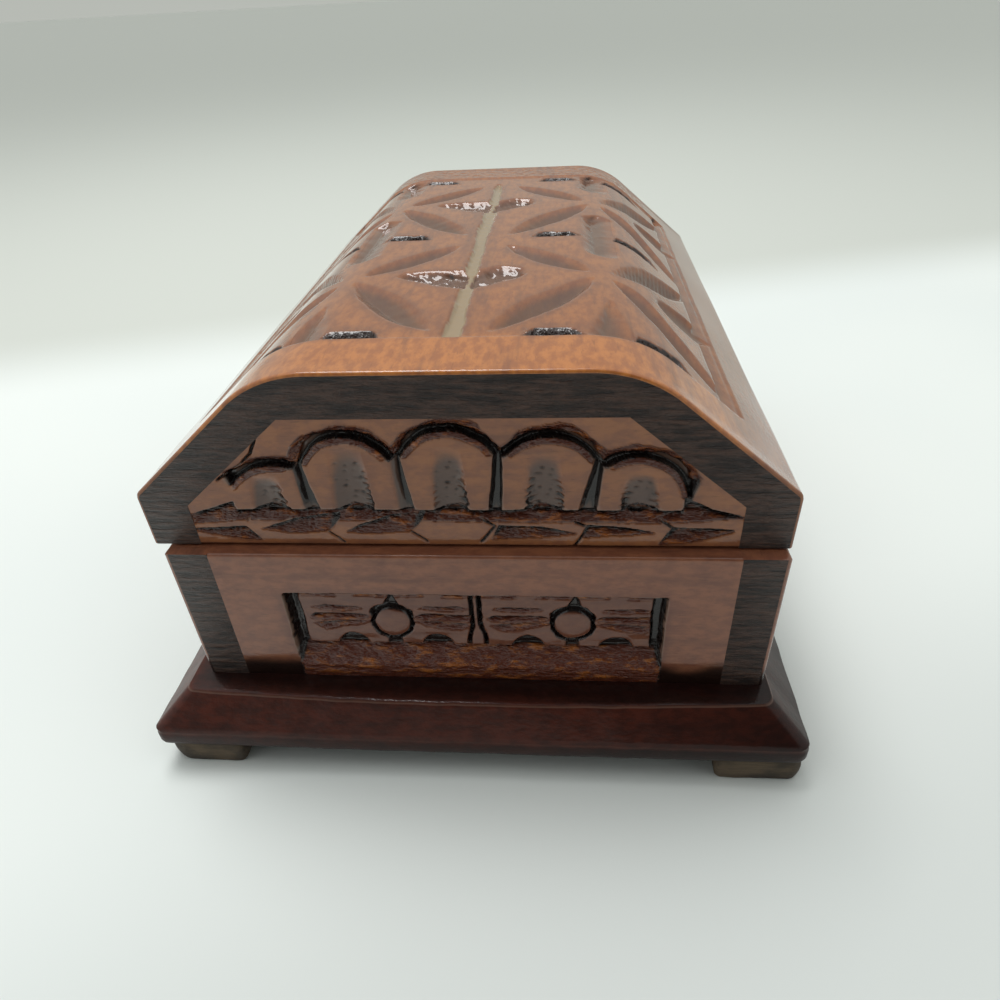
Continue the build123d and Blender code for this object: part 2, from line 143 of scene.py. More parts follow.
def lens_cut(a, b, start, end, width, depth, lean, tooth=0.0):
    """A gouge cut from start to end, pointed at both ends. Its half width follows (4t(1-t)) to the power
    0.75 along the cut. Across, the floor slants down to a crease at lean times the half width, on the left
    of the direction if lean is positive. tooth adds the chatter of the gouge, a saw wave every 2.1 mm."""
    run = np.subtract(end, start)
    length = np.hypot(*run)
    along = ((a - start[0]) * run[0] + (b - start[1]) * run[1]) / length**2
    across = ((b - start[1]) * run[0] - (a - start[0]) * run[1]) / length
    swell = np.clip(4 * along * (1 - along), 0, 1) ** 0.75
    half = np.maximum(width / 2 * swell, 1e-6)
    chatter = tooth * (np.mod(along * length / 2.1 + 0.25 * across, 1.0) - 0.5) * (across * lean < 0)
    floor = leaning_floor((across + 0.8 * chatter) / half, lean)
    return depth * swell * floor**0.85 + 0.5 * chatter * swell * floor


def petal_cut(a, b, point, round_end, width, depth, fullest):
    """A gouge cut that is pointed at one end and round at the other: the half width rises as a sine up to
    the fullest place and then follows an ellipse, and the floor is a round hollow across."""
    run = np.subtract(round_end, point)
    length = np.hypot(*run)
    along = ((a - point[0]) * run[0] + (b - point[1]) * run[1]) / length**2
    across = ((b - point[1]) * run[0] - (a - point[0]) * run[1]) / length
    rise = np.sin(np.clip(along / fullest, 0, 1) * np.pi / 2) ** 1.2
    fall = np.sqrt(np.clip(1 - (np.clip(along - fullest, 0, 1) / (1 - fullest)) ** 2, 0, 1))
    swell = np.where(along < fullest, rise, fall) * (along > 0) * (along < 1)
    side = across / np.maximum(width / 2 * swell, 1e-6)
    return depth * swell**0.6 * np.clip(1 - side**2, 0, 1) ** 0.6


def tongue_cut(a, b, far, near, width, depth, lean, opening):
    """A long hollow that runs along b. Its half width grows over the opening's length from far, and closes
    as a half ellipse 7 mm long at near. Across, it slants down to a crease at lean times the half width."""
    closing = np.clip(b - near + 7, 0, None) / 7
    swell = ramp(b, far, far + opening) ** 0.8 * np.sqrt(np.clip(1 - closing**2, 0, 1))
    side = a / np.maximum(width / 2 * swell, 1e-6)
    return depth * swell**0.5 * leaning_floor(side, lean) ** 0.85


def chip(a, b, corners, runs, depth):
    """A chip with straight edges through the given corners. Under each edge the floor falls to its full
    depth over that edge's own run, so a short run is a steep wall and a long run a facet; the least of them
    counts."""
    corners = np.array(corners, float)
    ahead = np.roll(corners, -1, axis=0)
    turn = np.sign(np.sum(corners[:, 0] * ahead[:, 1] - ahead[:, 0] * corners[:, 1]))
    share = np.ones_like(a)
    for (x0, y0), (x1, y1), run in zip(corners, ahead, runs):
        inward = turn * ((x1 - x0) * (b - y0) - (y1 - y0) * (a - x0)) / math.hypot(x1 - x0, y1 - y0)
        share = np.minimum(share, np.clip(inward / run, 0, 1))
    return depth * share


def scored_line(a, b, points, width, depth):
    """A V scored along a broken line: the depth falls evenly to nothing half the width away from it."""
    nearest = np.full_like(a, 1e6)
    for (x0, y0), (x1, y1) in zip(points[:-1], points[1:]):
        run = np.array((x1 - x0, y1 - y0))
        t = np.clip(((a - x0) * run[0] + (b - y0) * run[1]) / (run @ run), 0, 1)
        nearest = np.minimum(nearest, np.hypot(a - x0 - t * run[0], b - y0 - t * run[1]))
    return depth * np.clip(1 - nearest / (width / 2), 0, 1)


def grid_lines(low, high, step):
    """Evenly spaced grid lines from low to high, about step apart."""
    return np.linspace(low, high, int(math.ceil((high - low) / step)) + 1)


def eased_lines(low, high, step, low_radius=0.0, high_radius=0.0):
    """Grid lines from low to high and how far each lies below the face, where the ends are quarter
    rounds."""
    lines = grid_lines(low + low_radius, high - high_radius, step)
    drop = np.zeros_like(lines)
    turn = np.linspace(0, np.pi / 2, EDGE_STEPS + 1)[1:]
    if high_radius:
        lines = np.concatenate([lines, high - high_radius * (1 - np.sin(turn))])
        drop = np.concatenate([drop, high_radius * (1 - np.cos(turn))])
    if low_radius:
        lines = np.concatenate([(low + low_radius * (1 - np.sin(turn)))[::-1], lines])
        drop = np.concatenate([(low_radius * (1 - np.cos(turn)))[::-1], drop])
    return lines, drop


def soften(field, passes=1):
    """Takes the hard jags off a field on a grid: each value moves towards the mean of its four
    neighbours."""
    for _ in range(passes):
        padded = np.pad(field, 1, mode="edge")
        around = padded[:-2, 1:-1] + padded[2:, 1:-1] + padded[1:-1, :-2] + padded[1:-1, 2:]
        field = field * 0.5 + around * 0.125
    return field


def blurred(field, reach, step):
    """A soft copy of a field that mixes values about reach millimetres apart, by repeated running means."""
    for _ in range(max(1, int(round((reach / step) ** 2 / 4)))):
        padded = np.pad(field, ((2, 2), (0, 0)), mode="edge")
        field = (padded[:-4] + padded[1:-3] + padded[2:-2] + padded[3:-1] + padded[4:]) / 5
        padded = np.pad(field, ((0, 0), (2, 2)), mode="edge")
        field = (padded[:, :-4] + padded[:, 1:-3] + padded[:, 2:-2] + padded[:, 3:-1] + padded[:, 4:]) / 5
    return field


def carve_fields(depth, kinds, step, full, dusty=False):
    """Colour guides from a carved depth. The hollow, facet and dust guides say what kind a point is, and the
    hollow guide fades in with depth, so that deeper hollows get more of a tone that is partly painted shade.
    The dark guide is 1 in a blackened pit, where stain has pooled, and is painted shade on a steep wall and
    where a point lies deeper than its surroundings; on a dusty piece such a deeper point holds dust instead.
    The edge guide is a painted highlight, as strong as a point stands over its surroundings beside a cut,
    where a sharp edge catches the light, and near is how close the cuts are."""
    steep = smooth(np.hypot(*np.gradient(depth, step)), 0.75, 1.8)
    close = blurred(depth, 1.1, step)
    wide = blurred(depth, 3.2, step)
    deep = np.clip((depth - close) / (0.16 * full), 0, 1)
    # Partly painted shade: the hollow tone grows with depth, so deeper hollows are painted darker
    fading = smooth(depth, 0.1 * full, 0.9 * full) if dusty else ramp(depth, 0.0, 0.35 * full)
    fields = {
        "hollow_tone_and_shade": soften((kinds == HOLLOW) * fading, 2),
        "facet": soften((kinds == FACET) * 1.0, 2),
        "dust": soften((kinds == DUSTY) * 1.0, 2),
        # Painted shade on steep walls, together with the pooled stain of the blackened pits
        "pooled_stain_and_shade": np.maximum(steep, soften((kinds == BLACKENED) * 1.0, 2)),
    }
    if dusty:
        fields["dust"] = np.maximum(fields["dust"], 0.5 * deep * (kinds == HOLLOW) * (1 - steep))
    else:
        # Painted shade where a point lies deeper than its surroundings
        fields["pooled_stain_and_shade"] = np.maximum(deep, fields["pooled_stain_and_shade"])
    # Painted highlight: a lighter line on the edges that stand over a cut, where they catch the light
    fields["painted_edge_highlight"] = ramp(close - depth, 0.12 * full, 0.3 * full) * ramp(depth, 0.3 * full, 0.1 * full)
    fields["near"] = np.clip(wide / (0.6 * full), 0, 1)
    return fields


def enclosed_volume(points, faces):
    """Signed volume inside a closed mesh, from a fan of triangles on each face."""
    first, second, third = [], [], []
    for face in faces:
        if len(face) == 4:
            continue
        first += [face[0]] * (len(face) - 2)
        second += face[1:-1]
        third += face[2:]
    quads = np.array([face for face in faces if len(face) == 4])
    first = np.concatenate([quads[:, 0], quads[:, 0], np.array(first, int)])
    second = np.concatenate([quads[:, 1], quads[:, 2], np.array(second, int)])
    third = np.concatenate([quads[:, 2], quads[:, 3], np.array(third, int)])
    return np.einsum("ij,ij->", points[first], np.cross(points[second], points[third])) / 6


def finish_mesh(name, points, faces, materials, face_materials=None, fields=None):
    """Makes the object from points in millimetres, turns its faces outwards and keeps its hard edges
    hard."""
    if enclosed_volume(points, faces) < 0:
        faces = [face[::-1] for face in faces]
    mesh = bpy.data.meshes.new(name)
    mesh.from_pydata((points * MM).tolist(), [], faces)
    for material in materials:
        mesh.materials.append(material)
    if face_materials is not None:
        mesh.polygons.foreach_set("material_index", np.asarray(face_materials, np.int32))
    for field_name, values in (fields or {}).items():
        attribute = mesh.attributes.new(field_name, "FLOAT", "POINT")
        attribute.data.foreach_set("value", np.asarray(values, np.float32).ravel())
    mesh.polygons.foreach_set("use_smooth", np.ones(len(faces), bool))
    mesh.set_sharp_from_angle(angle=HARD_EDGE)
    mesh.update()
    piece = bpy.data.objects.new(name, mesh)
    bpy.context.scene.collection.objects.link(piece)
    return piece


def board(name, face, back, materials, grain, fields):
    """A closed board. face is its shown grid of points, back the point behind each grid point, of which
    only the edge is used: straight walls join the two edges and one flat face closes the back. Walls that
    cut across the grain, along axis number grain, take the end-grain finish, and the back takes the inside
    finish."""
    rows, columns = face.shape[:2]
    index = np.arange(rows * columns).reshape(rows, columns)
    quads = np.stack([index[:-1, :-1], index[1:, :-1], index[1:, 1:], index[:-1, 1:]], -1).reshape(-1, 4)
    ring = np.concatenate([index[0, :-1], index[:-1, -1], index[-1, :0:-1], index[:0:-1, 0]])
    behind = rows * columns + np.arange(len(ring))
    walls = np.stack([ring, np.roll(ring, -1), np.roll(behind, -1), behind], -1)
    points = np.concatenate([face.reshape(-1, 3), back.reshape(-1, 3)[ring]])
    across = np.cross(points[walls[:, 2]] - points[walls[:, 0]], points[walls[:, 3]] - points[walls[:, 1]])
    end_grain_wall = np.abs(across[:, grain]) > 0.9 * np.linalg.norm(across, axis=1)
    kinds = np.concatenate([np.zeros(len(quads)), np.where(end_grain_wall, 1, 0), [2]])
    faces = quads.tolist() + walls.tolist() + [behind[::-1].tolist()]
    padded = {key: np.concatenate([value.ravel(), np.zeros(len(ring))]) for key, value in fields.items()}
    return finish_mesh(name, points, faces, materials, kinds, padded)


def ring_block(name, rings, materials, fields=None):
    """A closed block from rings of points, one above the next, with a flat cap on the first and last
    ring."""
    count, around = rings.shape[:2]
    index = np.arange(count * around).reshape(count, around)
    after = np.roll(index, -1, axis=1)
    quads = np.stack([index[:-1], after[:-1], after[1:], index[1:]], -1).reshape(-1, 4)
    faces = quads.tolist() + [index[0, ::-1].tolist(), index[-1].tolist()]
    return finish_mesh(name, rings.reshape(-1, 3), faces, materials, None, fields)


# --- Materials --------------------------------------------------------------------------------------------


def srgb(code):
    """A colour written as sRGB hex, turned to linear light."""
    values = [int(code[place:place + 2], 16) / 255 for place in (1, 3, 5)]
    return [v / 12.92 if v <= 0.04045 else ((v + 0.055) / 1.055) ** 2.4 for v in values] + [1.0]


def per_mm(size):
    """Noise scale whose features are about size millimetres across."""
    return 1.0 / (size * MM)


def add_node(tree, kind, inputs=None, **settings):
    """Adds a node, sets its properties, and gives each named input a value or a link."""
    node = tree.nodes.new(kind)
    for key, value in settings.items():
        setattr(node, key, value)
    for key, value in (inputs or {}).items():
        if isinstance(value, bpy.types.NodeSocket):
            tree.links.new(value, node.inputs[key])
        else:
            node.inputs[key].default_value = value
    return node


def lay_over(tree, base, colour, guide, low, high, most=1.0):
    """Lays a colour over the base where a guide says so: none of it below low and the most of it above
    high."""
    share = add_node(tree, "ShaderNodeMapRange", {0: guide, 1: low, 2: high, 3: 0.0, 4: most},
                     interpolation_type="SMOOTHSTEP")
    mix = add_node(tree, "ShaderNodeMix", {0: share.outputs[0], 6: base, 7: colour}, data_type="RGBA")
    return mix.outputs[2]


def fibres(tree, grain, length, width, detail, rough=0.6):
    """A pattern drawn out along the grain, so that one fibre is about length by width millimetres."""
    scale = [per_mm(width)] * 3
    scale[grain] = per_mm(length)
    place = add_node(tree, "ShaderNodeTexCoord").outputs["Object"]
    drawn_out = add_node(tree, "ShaderNodeMapping", {"Vector": place, "Scale": scale}).outputs["Vector"]
    pattern = add_node(tree, "ShaderNodeTexNoise",
                       {"Vector": drawn_out, "Scale": 1.0, "Detail": detail, "Roughness": rough})
    return pattern.outputs["Fac"]


def new_material(name):
    """An empty node material with its output and a Principled shader."""
    material = bpy.data.materials.new(name)
    material.use_nodes = True
    tree = material.node_tree
    tree.nodes.clear()
    shader = add_node(tree, "ShaderNodeBsdfPrincipled")
    add_node(tree, "ShaderNodeOutputMaterial", {"Surface": shader.outputs["BSDF"]})
    return material, tree, shader


def varnish_over(tree, shader, coat_heights, wood_heights, coat, coat_roughness):
    """Brushed varnish on stained wood: a clear wet coat with its own relief, over wood that shines little
    by itself and adds the relief of its fibres. Each relief is given as its pattern, strength and
    millimetres."""
    inputs = {}
    for target, heights in (("Coat Normal", coat_heights), ("Normal", wood_heights)):
        for pattern, strength, height in heights:
            inputs.update({"Strength": strength, "Distance": height * MM, "Height": pattern})
            inputs["Normal"] = add_node(tree, "ShaderNodeBump", inputs).outputs["Normal"]
        tree.links.new(inputs["Normal"], shader.inputs[target])
    shader.inputs["Roughness"].default_value = 0.5
    shader.inputs["Specular IOR Level"].default_value = 0.12
    shader.inputs["Coat Weight"].default_value = coat
    shader.inputs["Coat Roughness"].default_value = coat_roughness


def carved_alder(name, grain, tones, crept_most=0.8, hollow_most=0.85, peel=0.12, coat=1.0):
    """Alder, carved with gouge and knife, stained brown and varnished thickly by brush. The eye gets a
    mottled warm brown with short fibres and dark pores, a darker purple-brown where the stain crept out of
    the cuts, which on the lid is also painted shade towards its long edges and far end, grey-brown gouged
    hollows whose tone is partly painted shade that deepens with depth, glassy facets that run from red-brown
    to orange and glint, nearly black creases and walls, which are pooled stain in the pits and painted shade
    on steep walls, in deep places and low on the body, pale dust in the lid's grooves and painted highlight
    lines along the edges beside the cuts, all under a wet gloss."""
    material, tree, shader = new_material(name)
    plain, warm, crept, hollow_tone_and_shade, facet, glow, pooled_stain_and_shade, dust, painted_edge_highlight = [srgb(code) for code in tones]
    streaks = fibres(tree, grain, 30.0, 4.0, 3)
    mottle = fibres(tree, grain, 4.5, 2.2, 5, 0.6)
    fine = fibres(tree, grain, 4.5, 0.45, 3)
    pools = fibres(tree, grain, 5.0, 1.6, 3)
    wood = lay_over(tree, plain, warm, mottle, 0.36, 0.64)
    wood = lay_over(tree, wood, crept, streaks, 0.5, 0.75, 0.5)
    wood = lay_over(tree, wood, pooled_stain_and_shade, fine, 0.58, 0.8, 0.35)
    marks = {key: add_node(tree, "ShaderNodeAttribute", attribute_name=key).outputs["Fac"]
             for key in ("near", "hollow_tone_and_shade", "facet", "pooled_stain_and_shade", "dust", "painted_edge_highlight")}
    glassy = lay_over(tree, facet, glow, pools, 0.5, 0.72)
    # The crept stain, which on the lid also carries painted shade towards its long edges and far end
    wood = lay_over(tree, wood, crept, marks["near"], 0.03, 0.55, crept_most)
    # Gouged hollows: their own tone, partly painted shade that deepens with the depth of the cut
    wood = lay_over(tree, wood, hollow_tone_and_shade, marks["hollow_tone_and_shade"], 0.1, 0.9, hollow_most)
    wood = lay_over(tree, wood, glassy, marks["facet"], 0.15, 0.85, 0.95)
    # Pooled stain in pits, and painted shade on steep walls and in deep places
    wood = lay_over(tree, wood, pooled_stain_and_shade, marks["pooled_stain_and_shade"], 0.1, 0.85, 0.97)
    wood = lay_over(tree, wood, dust, marks["dust"], 0.2, 0.9, 0.8)
    # Painted highlight along the edges beside the cuts
    wood = lay_over(tree, wood, painted_edge_highlight, marks["painted_edge_highlight"], 0.1, 0.9, 0.6)
    tree.links.new(wood, shader.inputs["Base Color"])
    skin = fibres(tree, grain, 1.6, 1.1, 2)
    on_facets = add_node(tree, "ShaderNodeMath", {0: pools, 1: marks["facet"]}, operation="MULTIPLY")
    tool_marks = on_facets.outputs[0]
    varnish_over(tree, shader, ((skin, peel, 0.35), (tool_marks, 0.8, 1.6)),
                 ((mottle, 0.15, 0.5), (fine, 0.15, 0.25)), coat, 0.06)
    return material


def black_end_grain(name, grain, deep, pale):
    """End grain of the same boards, which drank so much stain that it is nearly black. The eye gets a dark
    grey with short wavy ridges that run along the board's face, under the same wet varnish."""
    material, tree, shader = new_material(name)
    ridges = fibres(tree, grain, 9.0, 1.2, 5, 0.66)
    pores = fibres(tree, grain, 1.1, 0.6, 3)
    wood = lay_over(tree, srgb(deep), srgb(pale), ridges, 0.36, 0.66)
    wood = lay_over(tree, wood, srgb("#050404"), pores, 0.52, 0.75, 0.6)
    tree.links.new(wood, shader.inputs["Base Color"])
    varnish_over(tree, shader, ((ridges, 0.7, 1.4),), ((pores, 0.3, 0.35),), 0.75, 0.10)
    return material


def bare_wood(name, grain, light, dark, roughness):
    """Alder with one thin coat of stain and no varnish, as inside the box and under it. The eye gets a dull
    yellow-brown with open grain."""
    material, tree, shader = new_material(name)
    fine = fibres(tree, grain, 11.0, 0.6, 4)
    patches = fibres(tree, grain, 12.0, 8.0, 4)
    wood = lay_over(tree, srgb(dark), srgb(light), patches, 0.35, 0.65)
    wood = lay_over(tree, wood, srgb(dark), fine, 0.45, 0.65, 0.5)
    grain_relief = add_node(tree, "ShaderNodeBump", {"Strength": 0.35, "Distance": 0.4 * MM, "Height": fine})
    tree.links.new(wood, shader.inputs["Base Color"])
    tree.links.new(grain_relief.outputs["Normal"], shader.inputs["Normal"])
    shader.inputs["Roughness"].default_value = roughness
    return material


def rolled_metal(name, light, dark, roughness):
    """Sheet brass or zinc-plated steel wire, dulled by handling. The eye gets a soft metal shine with
    darker cloudy patches and fine rolling lines."""
    material, tree, shader = new_material(name)
    clouds = fibres(tree, 0, 2.5, 2.5, 4)
    lines = fibres(tree, 0, 8.0, 0.12, 2)
    metal = lay_over(tree, srgb(light), srgb(dark), clouds, 0.4, 0.7)
    skin = add_node(tree, "ShaderNodeBump", {"Strength": 0.08, "Distance": 0.05 * MM, "Height": lines})
    tree.links.new(metal, shader.inputs["Base Color"])
    tree.links.new(skin.outputs["Normal"], shader.inputs["Normal"])
    shader.inputs["Metallic"].default_value = 1.0
    shader.inputs["Roughness"].default_value = roughness
    return material


ALONG_X, ALONG_Y = 0, 1
# Tones in the order plain, warm, crept, hollow (partly painted shade), facet, glow, dark pooled stain and
# painted shade, dust, painted edge highlight
LID_TONES = (
    "#9C5C2E", "#B87236", "#5E382A", "#503828", "#4E2C1C", "#7A4A2A",
    "#24130D", "#9C8B6C", "#C09A74",
)
END_TONES = (
    "#845339", "#96603C", "#5C382B", "#4E3E37", "#481A08", "#965014",
    "#0C0302", "#54453E", "#8A6E5E",
)
BODY_TONES = (
    "#7C4C38", "#8E5A40", "#542F25", "#4E3E37", "#56220E", "#A05A1C",
    "#0C0302", "#54453E", "#8A6E5E",
)
BASE_TONES = (
    "#38150B", "#4A1D10", "#220C07", "#220C07", "#3C160C", "#3C160C",
    "#0C0302", "#3C160C", "#6E5347",
)
lid_wood = carved_alder("alder_lid_varnished", ALONG_X, LID_TONES, crept_most=0.6, hollow_most=0.7)
lid_end_wood = carved_alder("alder_lid_end_varnished", ALONG_Y, END_TONES, crept_most=0.35)
body_wood = carved_alder("alder_body_varnished", ALONG_Y, BODY_TONES, crept_most=0.5)
body_side_wood = carved_alder("alder_body_side_varnished", ALONG_X, BODY_TONES, crept_most=0.5)
base_wood = carved_alder("alder_base_varnished", ALONG_Y, BASE_TONES, peel=0.2, coat=0.3)
end_grain = black_end_grain("alder_end_grain_black", ALONG_Y, "#1A0D09", "#4C352B")
inside_wood = bare_wood("alder_inside_stained", ALONG_X, "#6B4630", "#4C2F1F", 0.6)
foot_wood = bare_wood("alder_foot_raw", ALONG_Y, "#5C4C38", "#352B20", 0.75)
hinge_brass = rolled_metal("brass_rolled_dull", "#B08D4A", "#7A5C2C", 0.35)
screw_steel = rolled_metal("steel_zinc_plated", "#A9ABAE", "#77797C", 0.4)


# --- Lid shell --------------------------------------------------------------------------------------------


def dome(u):
    """The lid's section, walked by arc length from the middle of the crown: the point across and up, and
    how far the outward normal has turned from upright. Flat crown, shoulder arc, straight slope, corner
    arc, side."""
    way = np.abs(u)
    shoulder = np.clip(way - CROWN_FLAT, 0, SHOULDER_FOOT - CROWN_FLAT) / SHOULDER_RADIUS
    slope = np.clip(way - SHOULDER_FOOT, 0, SLOPE_FOOT - SHOULDER_FOOT)
    corner = np.clip(way - SLOPE_FOOT, 0, CORNER_FOOT - SLOPE_FOOT) / CORNER_RADIUS
    side = np.maximum(way - CORNER_FOOT, 0)
    across = (
        np.minimum(way, CROWN_FLAT) + SHOULDER_RADIUS * np.sin(shoulder) + slope * math.cos(SLOPE)
        + CORNER_RADIUS * (np.sin(SLOPE + corner) - math.sin(SLOPE))
    )
    up = (
        LID_CROWN - SHOULDER_RADIUS * (1 - np.cos(shoulder)) - slope * math.sin(SLOPE)
        - CORNER_RADIUS * (math.cos(SLOPE) - np.cos(SLOPE + corner)) - side
    )
    return np.sign(u) * across, up, np.sign(u) * (shoulder + corner)


def joint_place(outer, inner):
    """Arc length at which the section meets the glue line through two points, given as (across, up)."""
    ways = np.linspace(CROWN_FLAT, SIDE_FOOT, 4001)
    across, up, _ = dome(ways)
    beyond = (across - inner[0]) * (outer[1] - inner[1]) - (up - inner[1]) * (outer[0] - inner[0])
    return float(np.interp(0.0, beyond, ways))


CROWN_JOINT = joint_place((LID_HALF - SLOPE_RUN, LID_CROWN), (CROWN_INNER, CROWN_INNER_LEVEL))
RAIL_JOINT = joint_place((LID_HALF, LID_BOTTOM + SIDE_HEIGHT), (RAIL_INNER, RAIL_INNER_LEVEL))

# The carved field on top of the lid
FIELD_END = 82.0
FIELD_SIDE = 72.0
FIELD_SINK = 0.5
SIDE_GROOVE = 6.0
SIDE_GROOVE_DEPTH = 1.8
BAY = 78.0
BAY_SHIFT = 1.0
STEM_MIDDLE = -1.2
STEM_WIDTH = 4.0
STEM_DEPTH = 1.2
CHIP_DEPTH = 2.7
SLOPE_CHIP_DEPTH = 3.1
POCKET_DEPTH = 3.1
LEAF_DEPTH = 2.1
TONGUE_DEPTH = 1.9
TONGUE_LEAN = 0.35

# Gouge cuts beside the middle of a bay, as start and end (across, along) and width. Each has its crease
# towards the photographed end, so it leans right of its way on the crown and left of it on the slopes.
CROWN_GOUGES = (((32.5, 2.5), (6.5, 38.0), 10.0), ((31.0, -2.0), (7.0, -28.5), 8.5))
SLOPE_GOUGES = (((37.0, 3.0), (68.0, 38.5), 11.5), ((37.0, -2.0), (68.0, -30.0), 12.0))
GOUGE_LEAN = 0.22
# Leaves on the stem: side, then corners round the leaf as (away from the stem, along) and the run of each
# edge, steeper on its far edges
STEM_LEAVES = (
    (-1, ((0.4, 12.0), (9.0, 6.8), (17.5, 3.2), (20.5, -0.5), (18.5, -4.6), (11.0, -6.2), (0.4, -6.0)),
     (4.5, 4.5, 3.5, 2.6, 3.0, 3.2, 0.5)),
    (1, ((0.4, 11.5), (6.5, 7.2), (12.5, 3.2), (15.6, -1.5), (14.0, -7.2), (8.0, -9.2), (0.4, -5.0)),
     (4.5, 4.5, 3.5, 2.6, 3.0, 3.2, 0.5)),
)
POCKET_ALONG = (-2.1, 3.3)
# Stop cuts as side, and their lowest and highest place across at their near edge
POCKETS = ((-1, 16.7, 34.0), (1, 13.8, 30.0), (-1, 40.0, 57.0), (1, 38.5, 57.5))
# Half leaf from the side of the field: pointed end, round end, width, depth and fullest place
HALF_LEAF = ((72.0, 1.0), (51.5, 1.0), 14.0, 2.0, 0.45)
TONGUE_MIDDLE = 35.5
TONGUE_WIDTH = 12.0
# Tongues at the three rows of pockets, as row, far end, near end and length over which they open
TONGUES = ((-1, -4.0, 21.5, 1.2), (0, -23.0, 22.0, 2.5), (1, -21.0, 14.0, 22.0))


def pocket_cut(s, t, low, high):
    """A stop cut: an upright wall on its far side, from which a facet rises to the face over its whole
    length. Seen from above it is a trapezoid, narrower at the wall."""
    far, near = POCKET_ALONG
    corners = ((low + 2.4, far), (high - 3.4, far), (high, near), (low, near))
    return chip(s, t, corners, (0.45, 1.6, near - far, 1.6), POCKET_DEPTH)


def lid_carving(u, x):
    """Depth and kind of the carving on the lid's top, at arc length u and place x along. A stem runs down
    the middle with a pair of leaves in each bay. Two bays of diamonds have a gouge cut along each side, and
    the corners between them hold stop cuts and long tongues. Half leaves come in from the sides of the
    field."""
    a = u + 0.5 * ripple(u, x, 17.0, 3) + 0.15 * ripple(u, x, 5.0, 5)
    b = x - BAY_SHIFT + 0.5 * ripple(u, x, 19.0, 4) + 0.15 * ripple(u, x, 6.0, 6)
    chased = 0.2 * ripple(u, x, 2.4, 9)
    ground = (np.zeros_like(u), np.zeros_like(u))
    for centre in (-BAY / 2, BAY / 2):
        t = b - centre
        for side in (-1, 1):
            s = side * a
            for start, end, width in CROWN_GOUGES:
                cut = lens_cut(s, t, start, end, width, CHIP_DEPTH, -GOUGE_LEAN)
                ground = cut_in(ground, cut + 0.25 * chased * (cut > 0.5), HOLLOW)
            for start, end, width in SLOPE_GOUGES:
                cut = lens_cut(s, t, start, end, width, SLOPE_CHIP_DEPTH, GOUGE_LEAN, 0.5 * (end[1] < 0))
                ground = cut_in(ground, cut, HOLLOW)
            ground = cut_in(ground, petal_cut(s, t, *HALF_LEAF), HOLLOW)
        for side, corners, runs in STEM_LEAVES:
            s = side * (a - STEM_MIDDLE)
            leaf = chip(s, t, corners, runs, LEAF_DEPTH)
            ground = cut_in(ground, leaf + 2.4 * chased * ramp(leaf, 0.3, 1.0), HOLLOW)
    for row, far, near, opening in TONGUES:
        t = b - row * BAY
        for side in (-1, 1):
            s, lean = side * a, -TONGUE_LEAN * side
            tongue = tongue_cut(s - TONGUE_MIDDLE, t, far, near, TONGUE_WIDTH, TONGUE_DEPTH, lean, opening)
            ground = cut_in(ground, tongue, HOLLOW)
        for side, low, high in POCKETS:
            ground = cut_in(ground, pocket_cut(side * a, t, low, high), FACET)
    stem_half = STEM_WIDTH / 2 * smooth(b, -74.0, -60.0) ** 0.5 + 0.35 * ripple(0 * u, x, 26.0, 7)
    stem = STEM_DEPTH * ramp(stem_half - np.abs(a - STEM_MIDDLE), 0.0, 0.5) * (b > -72.0)
    return cut_in(ground, stem + 0.3 * chased * (stem > 0.5), DUSTY)


def lid_face_depth(u, x):
    """Full depth below the lid's plain outline: the field is sunk a little inside its frame, with a sloping
    groove down each long side of it, and the plain wood is uneven where it was planed by hand."""
    inside = np.minimum(FIELD_END - np.abs(x), FIELD_SIDE - np.abs(u)) + 0.25 * ripple(u, x, 9.0, 11)
    side_way = FIELD_SIDE - np.abs(u) + 0.3 * ripple(u, x, 13.0, 12)
    groove = SIDE_GROOVE_DEPTH * leaning_floor(2 * side_way / SIDE_GROOVE - 1, 0.8)
    within = ramp(inside, 0.0, 0.5)
    ground = (FIELD_SINK * within, np.zeros_like(u))
    ground = cut_in(ground, groove * within, HOLLOW)
    carved, kinds = lid_carving(u, x)
    ground = cut_in(ground, (carved + 0.6 * FIELD_SINK * (carved > 0)) * within, kinds)
    far_border = smooth(x, -FIELD_END + 1, -FIELD_END - 2) * smooth(np.abs(u), 66, 58)
    planed = 0.10 * (1 + ripple(u, x, 46.0, 8)) + 0.12 * far_border * (1 + ripple(u, x, 2.8, 13))
    return ground[0], ground[1], planed


